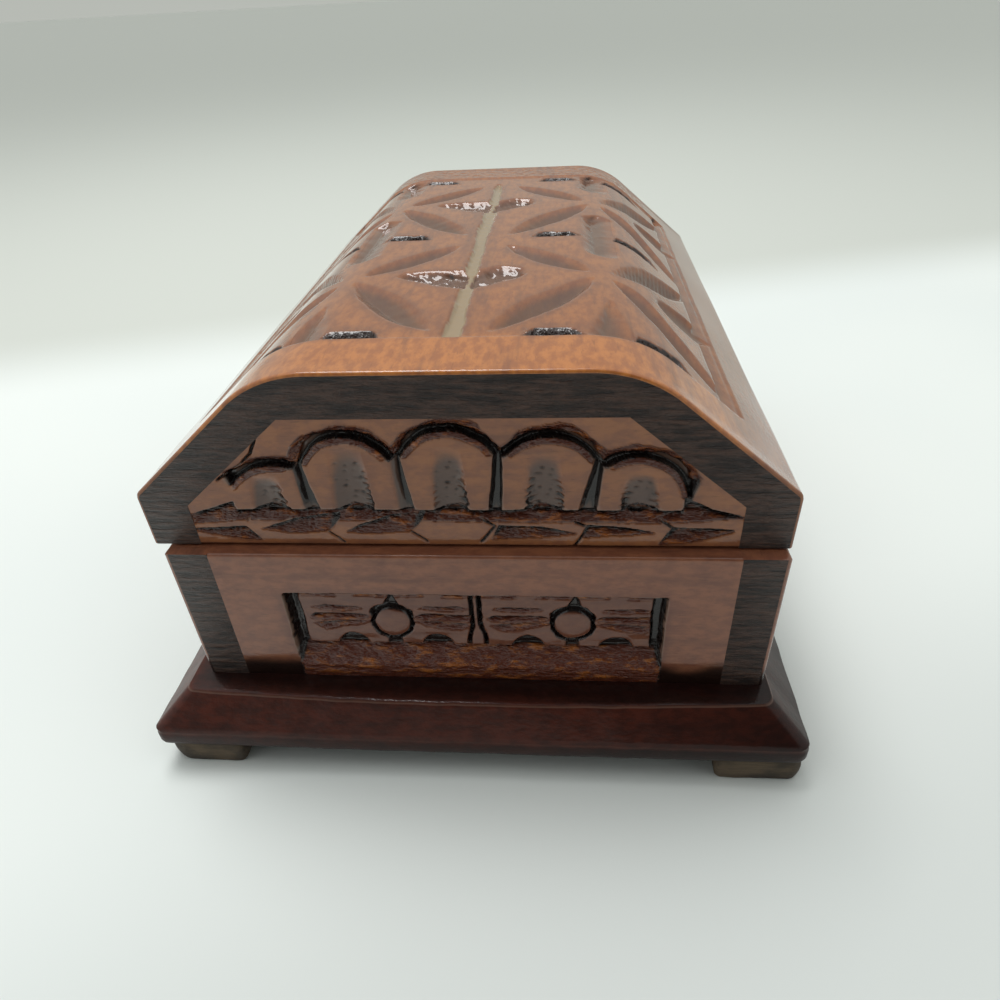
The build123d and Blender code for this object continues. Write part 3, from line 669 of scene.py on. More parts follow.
def lid_board(name, u_low, u_high, inner_low, inner_high, step, ease_side=0):
    """One long board of the lid between two glue lines of the section: the dome's surface sunk by the
    carving, and a flat inner face between two points of the section."""
    x, end_drop = eased_lines(-LID_END, LID_END, step, EDGE_RADIUS, EDGE_RADIUS)
    low_radius = EDGE_RADIUS if ease_side < 0 else 0.0
    high_radius = EDGE_RADIUS if ease_side > 0 else 0.0
    u, side_drop = eased_lines(u_low, u_high, step, low_radius, high_radius)
    xx, uu = np.meshgrid(x, u, indexing="ij")
    carved, kinds, planed = lid_face_depth(uu, xx)
    carved = soften(carved, 1)
    fields = carve_fields(carved, kinds, step, CHIP_DEPTH, dusty=True)
    # Painted shade, partly stain: the lid darker towards its long edges and towards its far end
    stain_and_shade = np.maximum(0.5 * smooth(np.abs(uu), 60.0, 74.0), 0.4 * smooth(-xx, 50.0, 85.0))
    fields["near"] = np.maximum(fields["near"], stain_and_shade)
    middle = smooth(LID_END - np.abs(xx), 0.0, 6.0)
    depth = carved + planed * middle + np.maximum(end_drop[:, None], side_drop[None, :])
    across, up, turn = dome(uu)
    face = np.stack([xx, across - depth * np.sin(turn), up - depth * np.cos(turn)], -1)
    share = (uu - u_low) / (u_high - u_low)
    back = np.stack([
        xx,
        inner_low[0] + (inner_high[0] - inner_low[0]) * share,
        inner_low[1] + (inner_high[1] - inner_low[1]) * share,
    ], -1)
    piece = board(name + "_carved", face, back, [lid_wood, end_grain, inside_wood], ALONG_X, fields)
    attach(piece, "lid")
    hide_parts(name)


def mirrored(point):
    """The same point of the section on the other side of the lid."""
    return (-point[0], point[1])


LID_STEP = 0.45
crown_corner = (CROWN_INNER, CROWN_INNER_LEVEL)
rail_corner = (RAIL_INNER, RAIL_INNER_LEVEL)
rail_foot = (RAIL_INNER, LID_BOTTOM)

lid_board("lid_top_board", -CROWN_JOINT, CROWN_JOINT, mirrored(crown_corner), crown_corner, LID_STEP)
lid_board("lid_back_slope_board", CROWN_JOINT, RAIL_JOINT, crown_corner, rail_corner, LID_STEP)
lid_board(
    "lid_front_slope_board", -RAIL_JOINT, -CROWN_JOINT,
    mirrored(rail_corner), mirrored(crown_corner), LID_STEP,
)
lid_board("lid_back_rail", RAIL_JOINT, SIDE_FOOT, rail_corner, rail_foot, 2 * LID_STEP, 1)
lid_board(
    "lid_front_rail", -SIDE_FOOT, -RAIL_JOINT, mirrored(rail_foot), mirrored(rail_corner), 2 * LID_STEP, -1,
)


# --- Carved end boards of the lid -------------------------------------------------------------------------

# The five arches as seen from outside, s to the right and z above the lid's foot: centre and radius of the
# top, then the flute's left edge, right edge and top, and how torn its left and right edges are
ARCHES = (
    (-41.5, 9.1, 13.1, -48.0, -40.0, 19.8, 0.0, 1.0),
    (-24.3, 18.3, 11.0, -28.7, -19.5, 27.2, 0.0, 1.0),
    (-1.4, 19.0, 11.8, -5.6, 2.4, 27.2, 0.3, 1.0),
    (20.6, 17.5, 11.7, 15.6, 23.9, 25.8, 1.0, 0.6),
    (39.8, 12.5, 11.5, 36.6, 45.0, 20.6, 1.0, 0.6),
)
# Gaps between the arches: corners from the top left round, and the run of each wall
ARCH_GAPS = (
    (((-37.0, 22.6), (-34.6, 22.8), (-31.9, 9.5), (-36.0, 9.5)), (0.3, 0.35, 0.3, 1.5)),
    (((-14.5, 24.2), (-11.9, 24.6), (-10.0, 9.5), (-13.9, 9.5)), (0.3, 0.35, 0.3, 2.0)),
    (((8.6, 25.4), (10.7, 25.2), (9.9, 9.5), (6.7, 9.5)), (0.3, 0.5, 0.3, 0.9)),
    (((30.3, 23.6), (32.5, 22.6), (31.4, 9.5), (26.9, 9.5)), (0.3, 0.7, 0.3, 1.4)),
)
ARCH_FOOT = 10.4
# Lowest height of the groove over the arches
SKY_FOOT = ((-60.0, -51.5, -50.0, -37.5, -35.5, -33.0, -14.5, -12.5, 8.0, 10.5, 30.0, 32.5, 50.0, 51.6, 60.0),
            (40.0, 15.5, 15.0, 21.0, 22.0, 22.0, 23.4, 23.8, 24.4, 24.4, 22.4, 21.8, 13.0, 13.0, 40.0))
# The long groove under the arches, as its upper and its lower edge
LONG_GROOVE_TOP = (
    (-64.5, -60.0, -53.0, -52.5, -48.0, -44.0, -40.5, -28.0, -24.5, -20.0, -5.0, -1.0, 3.0, 14.0, 19.0, 24.0,
     36.0, 40.5, 45.5, 50.4, 51.0, 65.0),
    (9.0, 10.2, 12.6, 10.3, 10.4, 11.7, 10.4, 10.4, 11.6, 10.4, 10.3, 11.3, 10.3, 10.4, 11.5, 10.4,
     10.4, 11.7, 10.4, 10.4, 12.3, 8.6),
)
LONG_GROOVE_FOOT = ((-64.5, -50.0, -35.0, -6.0, 30.0, 50.0, 65.0), (6.2, 7.5, 7.4, 7.3, 7.0, 7.0, 8.4))
# Leaves under the groove: corners in order and the run of each edge, short for a wall and long for a facet
END_LEAVES = (
    (((-64.3, 4.7), (-51.2, 5.5), (-48.0, 1.2), (-56.0, 2.3), (-64.0, 4.0)), (0.3, 0.5, 3.0, 3.0, 0.5)),
    (((-48.0, 4.6), (-39.0, 7.7), (-27.2, 9.1), (-31.6, 4.1), (-40.0, 3.5)), (0.3, 0.3, 0.7, 4.0, 3.5)),
    (((-27.5, 3.9), (-24.0, 6.0), (-16.0, 8.5), (-6.7, 9.7), (-11.5, 4.3), (-20.0, 3.6)),
     (0.4, 0.3, 0.3, 0.7, 4.0, 4.0)),
    (((9.0, 5.9), (18.5, 5.8), (27.4, 3.9), (17.5, 2.5), (7.1, 2.0)), (0.3, 0.3, 3.0, 3.2, 0.7)),
    (((29.5, 6.3), (39.0, 5.5), (45.5, 4.1), (38.0, 3.3), (27.6, 2.6)), (0.3, 0.3, 2.4, 2.8, 0.8)),
    (((48.6, 5.7), (62.3, 5.1), (62.3, 4.3), (53.0, 1.4), (45.6, 0.7)), (0.3, 0.4, 3.0, 3.2, 0.8)),
)
# Scored lines, as their points, width and depth
END_SCORES = (
    (((-43.2, 29.8), (-45.3, 25.5), (-48.5, 22.6), (-54.8, 18.7)), 0.9, 1.0),
    (((-31.6, 4.2), (-28.0, 0.9)), 0.7, 0.7),
    (((-11.5, 4.3), (-8.0, 1.1)), 0.7, 0.7),
    (((4.0, 8.7), (8.2, 5.7), (4.6, 1.2)), 0.8, 0.9),
    (((26.6, 6.9), (29.4, 5.7), (26.6, 0.3)), 0.8, 0.9),
    (((44.0, 9.2), (48.6, 5.4)), 0.9, 0.9),
    (((-50.6, 7.2), (-47.0, 10.4)), 0.7, 0.7),
)
SKY_DEPTH = 2.4
SKY_WALL = 0.35
GROOVE_DEPTH = 2.3
GROOVE_WALL = 0.45
FLUTE_DEPTH = 2.0
GAP_DEPTH = 1.8
END_LEAF_DEPTH = 1.9
ARCH_BEVEL_DEPTH = 0.55
ARCH_BEVEL_WIDTH = 1.3
# The three-cornered chip right of the last arch, with the run of each wall
LAST_GAP = (((50.6, 14.2), (59.5, 9.4), (50.8, 9.6)), (0.8, 0.6, 0.3))


def band_cut(s, z, top_line, foot_line, depth, wall):
    """A long facet under a broken line: a steep wall just under the upper line, then a floor that rises
    evenly to the face at the lower one."""
    top = np.interp(s, *top_line)
    foot = np.interp(s, *foot_line)
    fall = np.clip((top - z) / wall, 0, 1)
    rise = np.clip((z - foot) / np.maximum(top - wall - foot, 0.1), 0, 1)
    return depth * np.minimum(fall, rise) * (s > top_line[0][0]) * (s < top_line[0][-1])


def sky_cut(s, z):
    """The groove over the arches: a steep wall round each arch's top, an uneven floor, and a facet that
    rises to the face. The first number is its depth, the second is 1 on the facet."""
    outside = np.min([np.hypot(s - x0, np.maximum(z - z0, 0)) - r for x0, z0, r, *_ in ARCHES], axis=0)
    floor = 1.4 + 0.7 * ripple(s, z, 15.0, 23) + 0.25 * ripple(s, z, 3.5, 27)
    reach = floor + 2.0 + 0.9 * ripple(s, z, 11.0, 28)
    wall = np.clip(outside / SKY_WALL, 0, 1)
    sinking = 1 - 0.25 * np.clip(outside / floor, 0, 1)
    rising = np.clip((reach - outside) / (reach - floor), 0, 1)
    over = ramp(z, np.interp(s, *SKY_FOOT), np.interp(s, *SKY_FOOT) + 0.6)
    return SKY_DEPTH * wall * sinking * rising * over, outside > floor


def arch_bevel(s, z):
    """The narrow facet inside an arch's top, which sinks evenly to its depth at the groove."""
    inside = np.max([r - np.hypot(s - x0, z - z0) for x0, z0, r, *_ in ARCHES], axis=0)
    over = ramp(z, np.interp(s, *SKY_FOOT) + 0.5, np.interp(s, *SKY_FOOT) + 3.0)
    return ARCH_BEVEL_DEPTH * np.clip(1 - inside / ARCH_BEVEL_WIDTH, 0, 1) * (inside > 0) * over


def flute_cut(s, z, left, right, top, torn_left, torn_right):
    """A round hollow down an arch. Its floor sinks from nothing at the top to its depth at the arch's foot,
    its half width grows a little on the way, and its edges are torn where the gouge ran against the
    grain."""
    down = np.clip((top - z) / (top - ARCH_FOOT), 0, 1)
    tears = ripple(0.45 * s, z, 1.7, 25) * smooth(down, 0.25, 0.6)
    middle, half = (left + right) / 2, (right - left) / 2
    side = (s - middle) / (half * (0.72 + 0.34 * down**0.5))
    side = side + 0.16 * tears * np.where(side < 0, torn_left, torn_right)
    sharper = 2.0 + 3.0 * down * np.where(side < 0, torn_left, torn_right)
    section = 1 - np.clip(np.abs(side), 0, 1) ** sharper
    pits = 0.5 * np.clip(ripple(0.6 * s, 1.4 * z, 1.9, 26) - 0.35, 0, 1) * (down > 0.2)
    return (FLUTE_DEPTH * down**0.75 + pits) * section * (z > ARCH_FOOT - 0.8) * (z < top)


def lid_end_carving(s, z):
    """Depth and kind of the carving on an end board of the lid, s to the right as seen from outside and z
    up: five arches with a groove over them, a flute down each and gaps between, a long groove under them
    and a row of pointed leaves that face away from the middle."""
    s = s + 0.18 * ripple(s, z, 11.0, 21) + 0.07 * ripple(s, z, 3.0, 32)
    z = z + 0.15 * ripple(s, z, 9.0, 22) + 0.07 * ripple(s, z, 2.6, 33)
    ground = (np.zeros_like(s), np.zeros_like(s))
    ground = cut_in(ground, arch_bevel(s, z), FACET)
    sky, on_facet = sky_cut(s, z)
    ground = cut_in(ground, sky, np.where(on_facet, FACET, HOLLOW))
    for _, _, _, left, right, top, torn_left, torn_right in ARCHES:
        ground = cut_in(ground, flute_cut(s, z, left, right, top, torn_left, torn_right), HOLLOW)
    for corners, runs in (*ARCH_GAPS, LAST_GAP):
        ground = cut_in(ground, chip(s, z, corners, runs, GAP_DEPTH), HOLLOW)
    long_groove = band_cut(s, z, LONG_GROOVE_TOP, LONG_GROOVE_FOOT, GROOVE_DEPTH, GROOVE_WALL)
    ground = cut_in(ground, long_groove * smooth(66.0 - np.abs(s), 0.5, 7.0), FACET)
    for corners, runs in END_LEAVES:
        ground = cut_in(ground, chip(s, z, corners, runs, END_LEAF_DEPTH), FACET)
    for points, width, depth in END_SCORES:
        ground = cut_in(ground, scored_line(s, z, points, width, depth), HOLLOW)
    chased = 0.16 * ripple(s, z, 1.9, 34) * (ground[1] == FACET) * smooth(ground[0], 0.5, 1.2)
    return ground[0] + chased, ground[1]


def lid_end_board(name, end):
    """An end board of the lid: a trapezoid grid whose width follows the section of the long boards around
    it."""
    step = 0.25
    z = grid_lines(0.0, CROWN_INNER_LEVEL - LID_BOTTOM, step)
    half = np.interp(z + LID_BOTTOM, [RAIL_INNER_LEVEL, CROWN_INNER_LEVEL], [RAIL_INNER, CROWN_INNER])
    share = grid_lines(-1.0, 1.0, step / RAIL_INNER)
    zz, tt = np.meshgrid(z, share, indexing="ij")
    seen = tt * half[:, None]
    carved, kinds = lid_end_carving(seen, zz)
    carved = soften(carved, 1)
    fields = carve_fields(carved, kinds, step, SKY_DEPTH)
    below_round = np.clip(EDGE_RADIUS - zz, 0, None)
    foot_drop = EDGE_RADIUS - np.sqrt(np.clip(EDGE_RADIUS**2 - below_round**2, 0, None))
    depth = carved + foot_drop + 0.05 * (1 + ripple(seen, zz, 30.0, 31))
    place_y = end * seen
    face = np.stack([end * (LID_END - depth), place_y, zz + LID_BOTTOM], -1)
    back = np.stack([np.full_like(zz, end * LID_END_THICKNESS), place_y, zz + LID_BOTTOM], -1)
    piece = board(name + "_carved", face, back, [lid_end_wood, lid_end_wood, inside_wood], ALONG_Y, fields)
    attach(piece, "lid")
    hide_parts(name)


lid_end_board("lid_right_end_board", 1)
lid_end_board("lid_left_end_board", -1)


# --- Body -------------------------------------------------------------------------------------------------

BODY_END = body_front_high[0]
BODY_FRONT = body_front_low[1]
BODY_BACK = node_box("body_back_board")[1][1]
BODY_MIDDLE = (BODY_FRONT + BODY_BACK) / 2
BODY_WALL = body_front_high[1] - body_front_low[1]
RIM_LEVEL = body_front_high[2]
BODY_FOOT = body_front_low[2]
BODY_CORNER = 1.2
PANEL_MARGIN = 26.8
PANEL_TOP = RIM_LEVEL - 12.4
PANEL_BOTTOM = BODY_FOOT + 4.6
PANEL_DEPTH = 4.0
PANEL_GROUND = 2.2
PANEL_LEDGE = 5.2
PANEL_TRENCH = 3.4
PEARL_RADIUS = 4.7
PEARL_GROUND = 2.0
PEARL_RISE = 13.2

# Cuts beside a pearl, on the right of it; corners (across, up) from the pearl's middle, edge runs and depth
PEARL_LEAVES = (
    (((5.4, 2.3), (8.0, 3.2), (20.0, 3.1), (21.6, 2.2), (20.6, 0.9), (13.0, 0.9), (6.5, 1.5)),
     (0.4, 0.35, 0.4, 1.0, 1.9, 1.9, 1.6), 1.6),
    (((5.3, 0.7), (6.2, 1.3), (14.0, 0.5), (21.6, 0.2), (17.6, -2.4), (9.0, -0.9)),
     (0.3, 0.3, 0.3, 1.6, 1.9, 1.9), 1.2),
    (((7.0, 5.1), (8.2, 5.8), (17.0, 6.1), (20.8, 5.3), (18.0, 4.5), (12.0, 4.3)),
     (0.3, 0.3, 0.4, 1.0, 1.2, 1.2), 0.9),
)
SCOOP_PLACE = 11.2
SCOOP_HALF = 4.2
SCOOP_HEIGHT = 4.5
HANGING_HALF = 2.9
HANGING_HEIGHT = 3.6
# The post under a pearl and the splash over it, as corners, the run of each edge and depth
POST = (((-1.6, -4.5), (1.8, -4.5), (1.8, -8.4), (-1.6, -8.4)), (0.6, 0.5, 0.5, 0.5), 1.4)
SPLASH = (((-2.4, 5.0), (2.8, 5.2), (1.4, 9.2), (0.4, 10.2)), (0.6, 0.8, 0.6, 0.8), 1.5)


def under_ground(cut):
    """A cut that goes on down from the panel's floor, and nothing where it has no depth."""
    return np.where(cut > 0, PANEL_GROUND + cut, 0)


def panel_carving(s, z, half, pearls, bars):
    """Depth and kind of a sunk panel, s along it from its middle and z up. Steep walls stand over a trench
    at each end, a long facet rises from its foot, and upright bars split it. Each part has a pearl in a
    black ring, leaf cuts on both sides of it, round scoops over the foot and hanging scallops under the top
    edge."""
    s = s + 0.2 * ripple(s, z, 12.0, 41) + 0.1 * ripple(s, z, 3.4, 43)
    z = z + 0.15 * ripple(s, z, 10.0, 44) + 0.1 * ripple(s, z, 3.0, 45)
    ledge_top = PANEL_BOTTOM + PANEL_LEDGE
    level = np.full_like(s, PANEL_GROUND) + 0.15 * ripple(s, z, 6.0, 42)
    ground = (level, np.full_like(s, FACE))
    hanging = np.zeros_like(s, bool)
    for pearl in pearls:
        w, rise = s - pearl, z - (PANEL_BOTTOM + PEARL_RISE)
        beside = np.abs(w)
        for corners, runs, depth in PEARL_LEAVES:
            ground = cut_in(ground, under_ground(chip(beside, rise, corners, runs, depth)), FACET)
        scoop = 1 - ((beside - SCOOP_PLACE) / SCOOP_HALF) ** 2 - ((z - ledge_top + 0.3) / SCOOP_HEIGHT) ** 2
        scoop = np.where(scoop > 0, PANEL_GROUND + 1.9 * np.clip(scoop / 0.2, 0, 1) ** 0.5, 0)
        ground = cut_in(ground, scoop, BLACKENED)
        hanging |= ((beside - SCOOP_PLACE) / HANGING_HALF) ** 2 + ((PANEL_TOP - z) / HANGING_HEIGHT) ** 2 < 1
        ground = cut_in(ground, under_ground(chip(w, rise, *POST)), BLACKENED)
        radius = np.hypot(w, rise)
        uneven = 0.25 * ripple(s, z, 3.2, 46)
        ring_width = 0.8 + 1.3 * smooth(rise, 1.0, 5.0) + uneven
        ring = np.clip(1 - np.abs(radius - PEARL_RADIUS - ring_width / 2) / (ring_width / 2), 0, 1) ** 0.5
        ground = cut_in(ground, under_ground(1.8 * ring), BLACKENED)
        ground = cut_in(ground, under_ground(chip(w, rise, *SPLASH)), BLACKENED)
        on_pearl = radius < PEARL_RADIUS
        dished = PEARL_GROUND + 0.5 * np.clip(radius / PEARL_RADIUS, 0, 1) ** 5
        ground = (np.where(on_pearl, dished, ground[0]), np.where(on_pearl, FACE, ground[1]))
    under_top = np.clip((PANEL_TOP - z) / 0.4, 0, 1) * np.clip((z - PANEL_TOP + 2.6) / 2.2, 0, 1)
    strip = np.where((under_top > 0) & ~hanging, PANEL_GROUND + 1.6 * under_top, 0)
    ground = cut_in(ground, strip, FACET)
    for bar in bars:
        off = np.abs(s - bar)
        split = 1.1 * smooth(PANEL_BOTTOM + 13.5 - z, 0.0, 6.0)
        beside_bar = np.clip(1 - np.abs(off - 1.0 - split) / 0.6, 0, 1)
        ground = cut_in(ground, under_ground(1.7 * beside_bar), BLACKENED)
    depth, kinds = ground
    side_way = half - np.abs(s)
    trench = PANEL_DEPTH * np.clip((PANEL_TRENCH - side_way) / 0.9, 0, 1)
    depth, kinds = cut_in((depth, kinds), trench, BLACKENED)
    rise = z - PANEL_BOTTOM
    ledge = PANEL_DEPTH * np.clip(rise / PANEL_LEDGE, 0, 1)
    ledge = np.maximum(ledge, PANEL_DEPTH * np.clip((rise - PANEL_LEDGE) / 0.5, 0, 1) * (rise > PANEL_LEDGE))
    near_foot = rise < PANEL_LEDGE + 0.5
    depth = np.where(near_foot, np.where(rise < PANEL_LEDGE, ledge, np.maximum(depth, 0.93 * ledge)), depth)
    kinds = np.where(near_foot, np.where(rise < PANEL_LEDGE, FACET, BLACKENED), kinds)
    wall = PANEL_DEPTH * np.clip(np.minimum(side_way, PANEL_TOP - z) / 0.45, 0, 1)
    return np.minimum(depth, wall), np.where(wall <= 0, FACE, kinds)


def body_board(name, place, half_length, ease, half_panel, pearls, bars, materials, grain, step):
    """A board of the body with its sunk panel. place turns (along, up, depth) into a point of the frame."""
    s, end_drop = eased_lines(-half_length, half_length, step, ease, ease)
    z, top_drop = eased_lines(BODY_FOOT, RIM_LEVEL, step, 0.0, EDGE_RADIUS)
    ss, zz = np.meshgrid(s, z, indexing="ij")
    carved, kinds = panel_carving(ss, zz, half_panel, pearls, bars)
    carved = soften(carved, 1)
    fields = carve_fields(carved, kinds, step, PANEL_DEPTH)
    # Painted shade: the body darkens towards its foot, where the base plate shades it
    below_shade_line = BODY_FOOT + 9.5 + 1.5 * ripple(ss, zz, 14.0, 52) - zz
    fields["pooled_stain_and_shade"] = np.maximum(fields["pooled_stain_and_shade"], 0.8 * smooth(below_shade_line, 0.0, 6.5) * (kinds != FACET))
    planed = 0.06 * (1 + ripple(ss, zz, 34.0, 51))
    depth = carved + planed * smooth(half_length - np.abs(ss), 0, 5) + np.maximum(end_drop[:, None], top_drop)
    face = place(ss, zz, depth)
    back = place(ss, zz, np.full_like(ss, BODY_WALL))
    piece = board(name + "_carved", face, back, materials, grain, fields)
    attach(piece, "box")
    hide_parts(name)


def facing_end(end):
    """Places the points of an end board: along is Y, turned for the left end, and depth goes inwards in
    X."""
    def place(s, z, depth):
        return np.stack([end * (BODY_END - depth), BODY_MIDDLE + end * s, z], -1)
    return place


def facing_side(side, face_y):
    """Places the points of a long board: along is X, turned for the back, and depth goes inwards in Y."""
    def place(s, z, depth):
        return np.stack([-side * s, face_y - side * depth, z], -1)
    return place


BODY_STEP = 0.28
END_HALF = (BODY_BACK - BODY_FRONT) / 2 - BODY_WALL
END_PANEL = (BODY_BACK - BODY_FRONT) / 2 - PANEL_MARGIN
END_PEARLS, END_BARS = (-21.2, 24.8), (0.6,)
SIDE_PANEL = BODY_END - PANEL_MARGIN
SIDE_PEARLS = (-SIDE_PANEL * 2 / 3, 0.0, SIDE_PANEL * 2 / 3)
SIDE_BARS = (-SIDE_PANEL / 3, SIDE_PANEL / 3)
for end, node in ((1, "body_right_end_board"), (-1, "body_left_end_board")):
    body_board(node, facing_end(end), END_HALF, 0.0, END_PANEL, END_PEARLS, END_BARS,
               [body_wood, body_wood, inside_wood], ALONG_Y, BODY_STEP)
for side, face_y, node in ((-1, BODY_FRONT, "body_front_board"), (1, BODY_BACK, "body_back_board")):
    body_board(node, facing_side(side, face_y), BODY_END, BODY_CORNER, SIDE_PANEL, SIDE_PEARLS, SIDE_BARS,
               [body_side_wood, end_grain, inside_wood], ALONG_X, 1.4 * BODY_STEP)


# --- Base plate and feet ----------------------------------------------------------------------------------

PLATE_HALF_X = plate_high[0]
PLATE_HALF_Y = plate_high[1]
PLATE_TOP = plate_high[2]
PLATE_FOOT = plate_low[2]
BEVEL_DROP = 9.7
BEVEL_END_RUN = 6.6
BEVEL_END_BOW = 2.4
BEVEL_SIDE_RUN = 8.8
PLATE_CORNERS = (2.5, 3.0, 2.5, 3.5)


def rounded_outline(half_x, half_y, radii, spacing):
    """Points round a rectangle with a radius at each corner, anticlockwise from the +x, -y corner."""
    corners = ((1, -1, -90), (1, 1, 0), (-1, 1, 90), (-1, -1, 180))
    points = []
    for (sx, sy, start), radius in zip(corners, radii):
        turn = np.radians(start + np.linspace(0, 90, 9))
        centre = np.array([sx * (half_x - radius), sy * (half_y - radius)])
        points.append(centre + radius * np.stack([np.cos(turn), np.sin(turn)], -1))
    rounds = np.concatenate(points)
    after = np.roll(rounds, -1, axis=0)
    pieces = []
    for here, there in zip(rounds, after):
        count = max(1, int(np.hypot(*(there - here)) / spacing))
        pieces.append(here + (there - here) * np.linspace(0, 1, count, endpoint=False)[:, None])
    return np.concatenate(pieces)


def make_base_plate():
    """The plate: rings round its outline from the middle of its top, over the hand-cut bevel and the
    upright edge and under its foot. The bevel is wider at the corners than in the middle of an end."""
    outline = rounded_outline(PLATE_HALF_X, PLATE_HALF_Y, PLATE_CORNERS, 1.2)
    x, y = outline.T
    way = np.cumsum(np.hypot(*(outline - np.roll(outline, 1, axis=0)).T))
    uneven = ripple(way, 0 * way, 45.0, 61)
    nicked = ripple(way, 0 * way, 9.0, 62)
    # Share of the bevel's run, height, how much the hand shows there, how strong the painted highlight on its
    # edge is, and how dark it is painted, partly stain and partly painted shade under the body, on the
    # upright edge and underneath
    profile = [(4.0, PLATE_TOP, 0.0, 0, 1), (1.8, PLATE_TOP, 0.0, 0, 1), (1.25, PLATE_TOP, 0.0, 0, 0.7)]
    profile += [(1.10, PLATE_TOP - 0.04, 0.5, 0, 0.3), (1.06, PLATE_TOP - 0.08, 0.7, 0.4, 0.1)]
    for t in np.concatenate([[0.0, 0.03], np.linspace(0.1, 1, 9)]):
        crown = 0.25 * math.sin(math.pi * t)
        # Painted highlight on the ridge between the flat top and the bevel
        worn = 0.8 if t == 0 else 0.0
        profile.append((1.0 - t + 0.02 - 0.02 * t - 0.03 * crown, PLATE_TOP - 0.45 - (BEVEL_DROP - 0.9) * t,
                        1.0, worn, 0.25 * t))
    profile += [(0.02, PLATE_TOP - BEVEL_DROP - 0.3, 0.8, 0.3, 0)]
    profile += [(0.0, PLATE_TOP - BEVEL_DROP - 1.2, 0.3, 0, 0.7)]
    profile += [(0.0, PLATE_FOOT + 1.6, 0.3, 0, 0.8), (0.02, PLATE_FOOT + 0.8, 0.6, 0, 0.9)]
    profile += [(0.07, PLATE_FOOT + 0.25, 0.6, 0, 1), (0.16, PLATE_FOOT + 0.06, 0.3, 0, 1)]
    profile += [(2.0, PLATE_FOOT + 0.06, 0.0, 0, 1), (4.0, PLATE_FOOT + 0.06, 0.0, 0, 1)]
    rings, edge_highlights, stain_and_shade = [], [], []
    for share, height, hand, worn, stain_and_shade_level in profile:
        run = share * BEVEL_END_RUN + hand * 0.18 * (1 + nicked)
        side_run = share * BEVEL_SIDE_RUN + hand * 0.18 * (1 + nicked)
        bow = min(share, 1.0) * BEVEL_END_BOW * (x / PLATE_HALF_X) * (1 - (y / PLATE_HALF_Y) ** 2)
        px = x * (PLATE_HALF_X - run) / PLATE_HALF_X + bow
        py = y * (PLATE_HALF_Y - side_run) / PLATE_HALF_Y
        pz = np.minimum(height - hand * 0.25 * (1 + uneven), PLATE_TOP)
        rings.append(np.stack([px, py, pz], -1))
        edge_highlights.append(np.full(len(x), float(worn)))
        # Painted shade, partly stain: the plate darker towards its back, away from the window
        stain_and_shade.append(np.clip(stain_and_shade_level + 0.7 * ramp(y / PLATE_HALF_Y, 0.2, 0.95), 0, 1))
    fields = {"painted_edge_highlight": np.array(edge_highlights), "pooled_stain_and_shade": 0.65 * np.array(stain_and_shade)}
    piece = ring_block("base_plate_bevelled", np.array(rings), [base_wood], fields)
    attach(piece, "box")
    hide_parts("base_plate")


make_base_plate()

NAIL_RECESS = 1.9
NAIL_FACE = 0.55
FOOT_CORNER = 1.6


def make_foot(name, end, side, outer_radius):
    """A foot sawn from a strip and rounded by hand: rings round a square outline with one larger outer
    corner, bulged in the middle of its height, with the shallow hole of its nail in its underside."""
    low, high = node_box(name)
    centre, half = (low + high) / 2, (high - low) / 2
    corners = ((1, -1), (1, 1), (-1, 1), (-1, -1))
    radii = [outer_radius if corner == (end, side) else FOOT_CORNER for corner in corners]
    outline = rounded_outline(half[0], half[1], radii, 0.8)
    height = high[2]
    recess = NAIL_RECESS / half[0]
    # Share of the outline and height of each ring, from the nail's hole up to the top
    levels = [(recess * 0.9, NAIL_FACE), (recess, NAIL_FACE), (recess, 0.0)]
    levels += [(0.5, 0.0), (0.88, 0.0), (0.95, 0.3)]
    for t in np.linspace(0.02, 0.98, 9):
        levels.append((0.965 + 0.035 * math.sin(math.pi * t), 0.9 + (height - 0.9) * t))
    levels += [(0.94, height - 0.02), (0.4, height - 0.02)]
    hand = ripple(outline[:, 0], outline[:, 1], 9.0, 70 + 2 * end + side)
    rings = []
    for share, level in levels:
        worn = 1 - 0.012 * (1 + hand) * (share > 0.6)
        if share < 0.3:
            turn = np.arctan2(outline[:, 1], outline[:, 0])
            ring = share * half[0] * np.stack([np.cos(turn), np.sin(turn)], -1)
        else:
            ring = outline * share * worn[:, None]
        rings.append(np.column_stack([ring + centre[:2], np.full(len(ring), level)]))
    piece = ring_block(name + "_block", np.array(rings), [foot_wood])
    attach(piece, "box")
    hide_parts(name)


for end, end_name, side, side_name, outer_radius in (
    (1, "right", -1, "front", 6.5), (1, "right", 1, "back", 2.8),
    (-1, "left", -1, "front", 8.0), (-1, "left", 1, "back", 9.0),
):
    make_foot(f"foot_{side_name}_{end_name}", end, side, outer_radius)


# --- Metal pieces keep their CAD shapes -------------------------------------------------------------------

for name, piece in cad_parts.items():
    if piece.hide_render:
        continue
    piece.data.materials.clear()
    brass = "hinge" in name
    piece.data.materials.append(hinge_brass if brass else screw_steel)


# --- Floor, light and camera ------------------------------------------------------------------------------

FLOOR_REACH = 60.0
# Tones laid over the floor and the room: direction, colour, and how far along it none and all of it shows.
# The floor's tones are painted shade, greyer far behind the box and a little greyer in front of it
FLOOR_SHADE_TONES = (((-1.0, -0.28, 0.0), "#CDD1CA", 0.18, 0.29), ((1.0, 0.45, 0.0), "#D2D7D4", 0.08, 0.2))
ROOM_TONES = (
    ((-1.0, 0.0, -0.6), "#A9ACA6", 0.0, 0.8),
    ((0.0, 0.0, 1.0), "#FBFCFB", 0.5, 0.95),
    ((0.79, 0.10, 0.60), "#343434", 0.66, 0.92),
)
